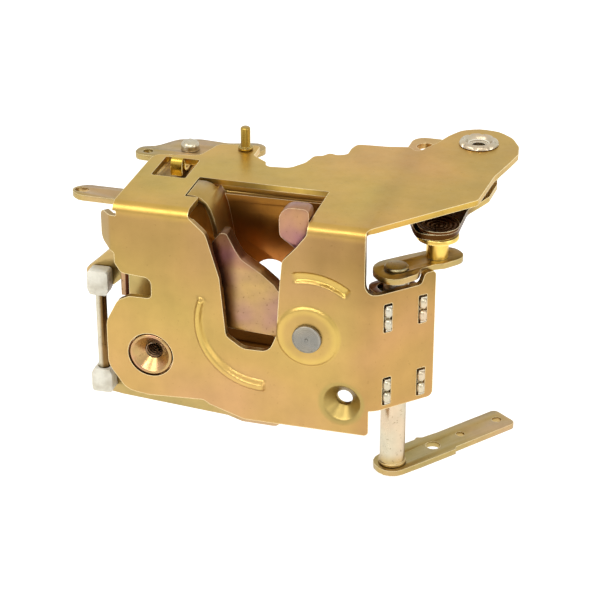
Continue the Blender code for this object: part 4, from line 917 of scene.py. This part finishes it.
stud = {
    "centre": (56.7, 78.5), "dents": 8, "dent": 0.95, "dentRadius": 6.3, "dentWidth": 0.75,
    "dentFrom": 51.7, "dentPower": 12,
    "profile": [(2.3, 39.5), (2.3, 50.6), (3.4, 50.9), (4.0, 51.5), (4.4, 52.2), (5.0, 52.5),
                (5.6, 52.5), (6.2, 52.25), (6.6, 51.8), (6.7, 51.25), (6.5, 51.08), (3.2, 51.08),
                (3.2, 48.7), (6.0, 48.7), (6.0, 43.9), (3.2, 43.9), (3.2, 41.3), (5.0, 41.3),
                (5.0, 39.5), (2.3, 39.5)],
}


def makeStud():
    # The profile turned, its collar lowered by a bell over the radius times a high power of a
    # cosine of the angle.
    piece = turned("staked_stud", stud["profile"], stud["centre"], "Z", steps=96, lift=dentedBy(stud))
    settle(piece, silver, "case", ["arm_stud"])


# Lock hook: strap from under the case's top, up through the window, curled over and down again

hook = {
    "width": 4.0, "thick": 1.2, "widthPower": 0.22, "thickPower": 0.35, "steps": 60, "around": 28,
    "path": ((-37.2, 50.5, 47.4), (-36.7, 46.5, 47.4), (-36.0, 42.0, 47.5), (-35.9, 39.0, 47.8),
             (-35.9, 37.7, 49.1), (-35.9, 37.6, 50.6), (-35.9, 37.2, 51.8), (-36.0, 36.3, 52.3),
             (-36.1, 35.5, 51.9), (-36.2, 35.1, 50.7), (-36.2, 35.0, 48.9), (-36.2, 35.3, 47.1)),
}


def smoothPath(points, count):
    # A smooth cubic curve through every point, at even steps of its parameter.
    p = np.array(points, float)
    p = np.vstack([2 * p[0] - p[1], p, 2 * p[-1] - p[-2]])
    t = np.linspace(0, len(points) - 1.0001, count)
    k = t.astype(int)
    f = (t - k)[:, None]
    a, b, c, d = p[k], p[k + 1], p[k + 2], p[k + 3]
    return 0.5 * (2 * b + (c - a) * f + (2 * a - 5 * b + 4 * c - d) * f ** 2
                  + (3 * b - a - 3 * c + d) * f ** 3)


def makeHook():
    # An oblong of signed powers of cosine and sine, carried along the path, its width across X.
    path = smoothPath(hook["path"], hook["steps"])
    along = np.gradient(path, axis=0)
    along /= np.linalg.norm(along, axis=1)[:, None]
    side = np.array([1.0, 0, 0]) - along * along[:, :1]
    side /= np.linalg.norm(side, axis=1)[:, None]
    up = np.cross(side, along)
    a = np.linspace(0, 2 * pi, hook["around"], endpoint=False)
    wide = signedPower(np.cos(a), hook["widthPower"]) * hook["width"] / 2
    thick = signedPower(np.sin(a), hook["thickPower"]) * hook["thick"] / 2
    points = path[:, None] + side[:, None] * wide[None, :, None] + up[:, None] * thick[None, :, None]
    start, end = (np.repeat(path[i][None], hook["around"], 0)[None] for i in (0, -1))
    points = np.concatenate([start, points, end])
    piece = gridMesh("lock_hook_strap", points * millimetre)
    settle(piece, brass, "lock_group", ["lock_hook"])


# Rear flange of the back plate, folded away under the case's top, and the strip beside its tongue

rearFlange = {
    "x": (-31.5, 18.6),
    "section": ((28.4, 44.6, 0), (28.4, 46.6, 0.6), (37.5, 46.6, 0.6), (37.5, 44.7, 0.6)),
    "tongueX": (-46.6, -42.6),
    "tongueSection": ((28.9, 44.1, 0.6), (28.9, 46.1, 0.6), (54.0, 46.1, 0.6), (54.0, 44.1, 0.6)),
}


def makeFold(name, across, section, material):
    # The section in Y and Z is carried straight along X, and both ends are closed.
    loop = roundedLoop(section, step=30)
    points = np.array([[(x, y, z) for y, z in loop] for x in across]) * millimetre
    piece = gridMesh(name, points)
    reface(piece.data, fill=True)
    roundEdges(piece)
    settle(piece, material, "case")


# Lock lever rivet: low head with a punched star

leverRivet = {
    "centre": (-37.7, 54.3), "dents": 5, "dent": 0.55, "dentRadius": 1.7, "dentWidth": 0.7,
    "dentFrom": 50.8, "dentPower": 4,
    "profile": [(0.01, 51.2), (0.5, 51.5), (1.2, 51.6), (1.8, 51.5), (2.4, 51.2), (2.9, 50.6),
                (3.1, 49.9), (3.1, 48.5), (1.9, 48.5), (1.9, 45.3), (0.01, 45.3)],
}


def makeLeverRivet():
    # The profile turned, its head lowered by a bell over the radius times the fourth power of a
    # cosine of the angle.
    lift = dentedBy(leverRivet)
    piece = turned("lever_rivet", leverRivet["profile"], leverRivet["centre"], "Z", steps=60, lift=lift)
    settle(piece, silver, "case", ["lock_lever_rivet"])


# Bracket tab ends: two pressed lobes stand out of each slot of the flange

lobe = {
    "corner": 39.9, "starts": (-10.2, 16.1), "length": 8.8, "middles": (0.25, 0.75), "half": 0.235,
    "across": 1.45, "proud": 1.9, "sunk": 0.35, "powers": (0.9, 0.95, 0.7),
}


def makeLobes():
    # A superellipsoid: cosines and sines of latitude and longitude, each to a power.
    lat = np.linspace(-pi / 2, pi / 2, 13)[:, None]
    lon = np.linspace(0, 2 * pi, 25)[:-1][None, :]
    latPower, lonPower, upPower = lobe["powers"]
    level = signedPower(np.cos(lat), latPower)
    sx = level * signedPower(np.cos(lon), lonPower)
    sy = level * signedPower(np.sin(lon), lonPower)
    sz = np.broadcast_to(signedPower(np.sin(lat), upPower), sx.shape)
    places = [(along, start, middle) for along in casePlate["slotsAlong"]
              for start in lobe["starts"] for middle in lobe["middles"]]
    for number, (along, start, middle) in enumerate(places):
        u = along + sx * lobe["across"]
        n = lobe["sunk"] - sy * lobe["proud"]
        x = lobe["corner"] + (u - n) * cos(pi / 4)
        y = (u + n) * cos(pi / 4)
        z = start + lobe["length"] * (middle + lobe["half"] * sz)
        piece = gridMesh("tab_lobe_%d" % number, np.stack([x, y, z], -1) * millimetre)
        settle(piece, silver, "case", ())


# Lever under the arm, with its ear set up by a joggle

armLever = {
    "bottom": 41.6, "sheet": 2.0, "rise": 5.0, "riseFrom": 49.0, "riseTo": 43.0,
    "outline": (
        (44.9, 19.1, 7.6), (60.7, 19.1, 7.6), (60.7, 41, 8), (63.6, 48, 3), (65.5, 53, 3),
        (66.1, 64, 3), (64.9, 69, 3), (64.9, 86.7, 7.8), (50.5, 86.7, 4), (46.5, 83.5, 3),
        (42.5, 84.8, 5), (33.4, 84.8, 6), (32.9, 70.0, 5.5), (41.5, 69.4, 3), (48.1, 75.5, 6),
        (50.1, 62.5, 8), (46.7, 39.3, 10), (44.9, 33.3, 6)),
    "pin": (54.3, 25.3), "slot": 3.3, "slotMore": 3.4, "ear": ((38.9, 77.0), 3.1), "studHole": 3.45,
}


def makeArmLever():
    # Height is the sheet's own plus a smooth step along X under the ear.
    px, py = armLever["pin"]
    r, more = armLever["slot"], armLever["slotMore"]
    slot = [(px - r, py - r, r), (px + r, py - r, r), (px + r, py + more + r, r),
            (px - r, py + more + r, r)]
    loops = [roundedLoop(armLever["outline"]), roundedLoop(slot),
             ring(*armLever["ear"], steps=28), ring(stud["centre"], armLever["studHole"], steps=32)]
    shape = filledSheet("arm_lever_sheet", loops, armLever["sheet"])
    sliceAt(shape, 0, np.linspace(armLever["riseTo"], armLever["riseFrom"], 13))
    mesh = meshOf("arm_lever_sheet", shape)
    places = placesOf(mesh)
    share = (armLever["riseFrom"] - places[:, 0]) / (armLever["riseFrom"] - armLever["riseTo"])
    places[:, 2] += armLever["bottom"] + armLever["rise"] * softStep(share)
    mesh.vertices.foreach_set("co", (places * millimetre).ravel())
    mesh.shade_smooth()
    piece = bpy.data.objects.new("arm_lever_sheet", mesh)
    roundEdges(piece)
    settle(piece, armLeverPaintedShade, "arm_group", ["arm_lever"])


# Crank pin, and the dished end over it

crankPin = {
    "centre": (54.3, 25.3), "cup": 7.0, "lip": 0.4, "dish": 44.15, "dishRise": 0.9,
    "ringHeight": 0.09, "ringPitch": 1.5,
    "stem": [(0.01, 44.0), (2.4, 44.0), (2.55, 43.8), (2.55, 41.55), (6.6, 41.55), (6.8, 41.3),
             (6.8, 40.2), (3.6, 39.7), (3.6, 33.6), (1.8, 33.6), (1.8, 31.4), (3.0, 31.4),
             (2.7, 30.5), (0.01, 30.5)],
    "rim": [(6.85, 45.0), (7.0, 44.7), (6.9, 43.95), (0.02, 43.75)],
}


def makeCrankPin():
    # The dish's height grows with the square of the radius, with a cosine of it for the rings.
    piece = turned("crank_pin_stem", crankPin["stem"], crankPin["centre"], "Z", steps=56)
    settle(piece, litStemBrass, "crank_group", ["crank_pin"])
    r = np.linspace(0.02, crankPin["cup"] - crankPin["lip"], 60)
    dish = crankPin["dish"] + crankPin["dishRise"] * (r / crankPin["cup"]) ** 2
    dish = dish + crankPin["ringHeight"] * np.cos(2 * pi * r / crankPin["ringPitch"])
    profile = list(zip(r, dish)) + crankPin["rim"]
    cup = turned("crank_pin_cup", profile, crankPin["centre"], "Z", steps=64)
    # The dished end in the gold's painted shade.
    settle(cup, cupPaintedShade, "crank_group", ())


# Edge of the release upright seen in the case's left cut-out

upright = {"x": (-47.8, -44.7), "y": (9.6, 11.4), "z": (13.5, 28.5), "left": 0.5, "right": 0.1}


def makeUpright():
    # A rounded oblong in X and Y, carried straight up Z.
    (x0, x1), (y0, y1) = upright["x"], upright["y"]
    left, right = upright["left"], upright["right"]
    loop = roundedLoop([(x0, y0, left), (x1, y0, right), (x1, y1, right), (x0, y1, left)], step=30)
    points = np.array([[(x, y, z) for x, y in loop] for z in upright["z"]]) * millimetre
    piece = gridMesh("upright_edge", points)
    settle(piece, uprightPaintedShade, "release_group", ())


makeRivet()
makeLeverRivet()
makeLobes()
makeArmLever()
makeCrankPin()
makeUpright()
makeInsert()
makeStud()
makeHook()
makeFold("rear_flange", rearFlange["x"], rearFlange["section"], gold)
makeFold("tongue_edge", rearFlange["tongueX"], rearFlange["tongueSection"], backPlatePaintedLight)
print("worked pieces are placed")
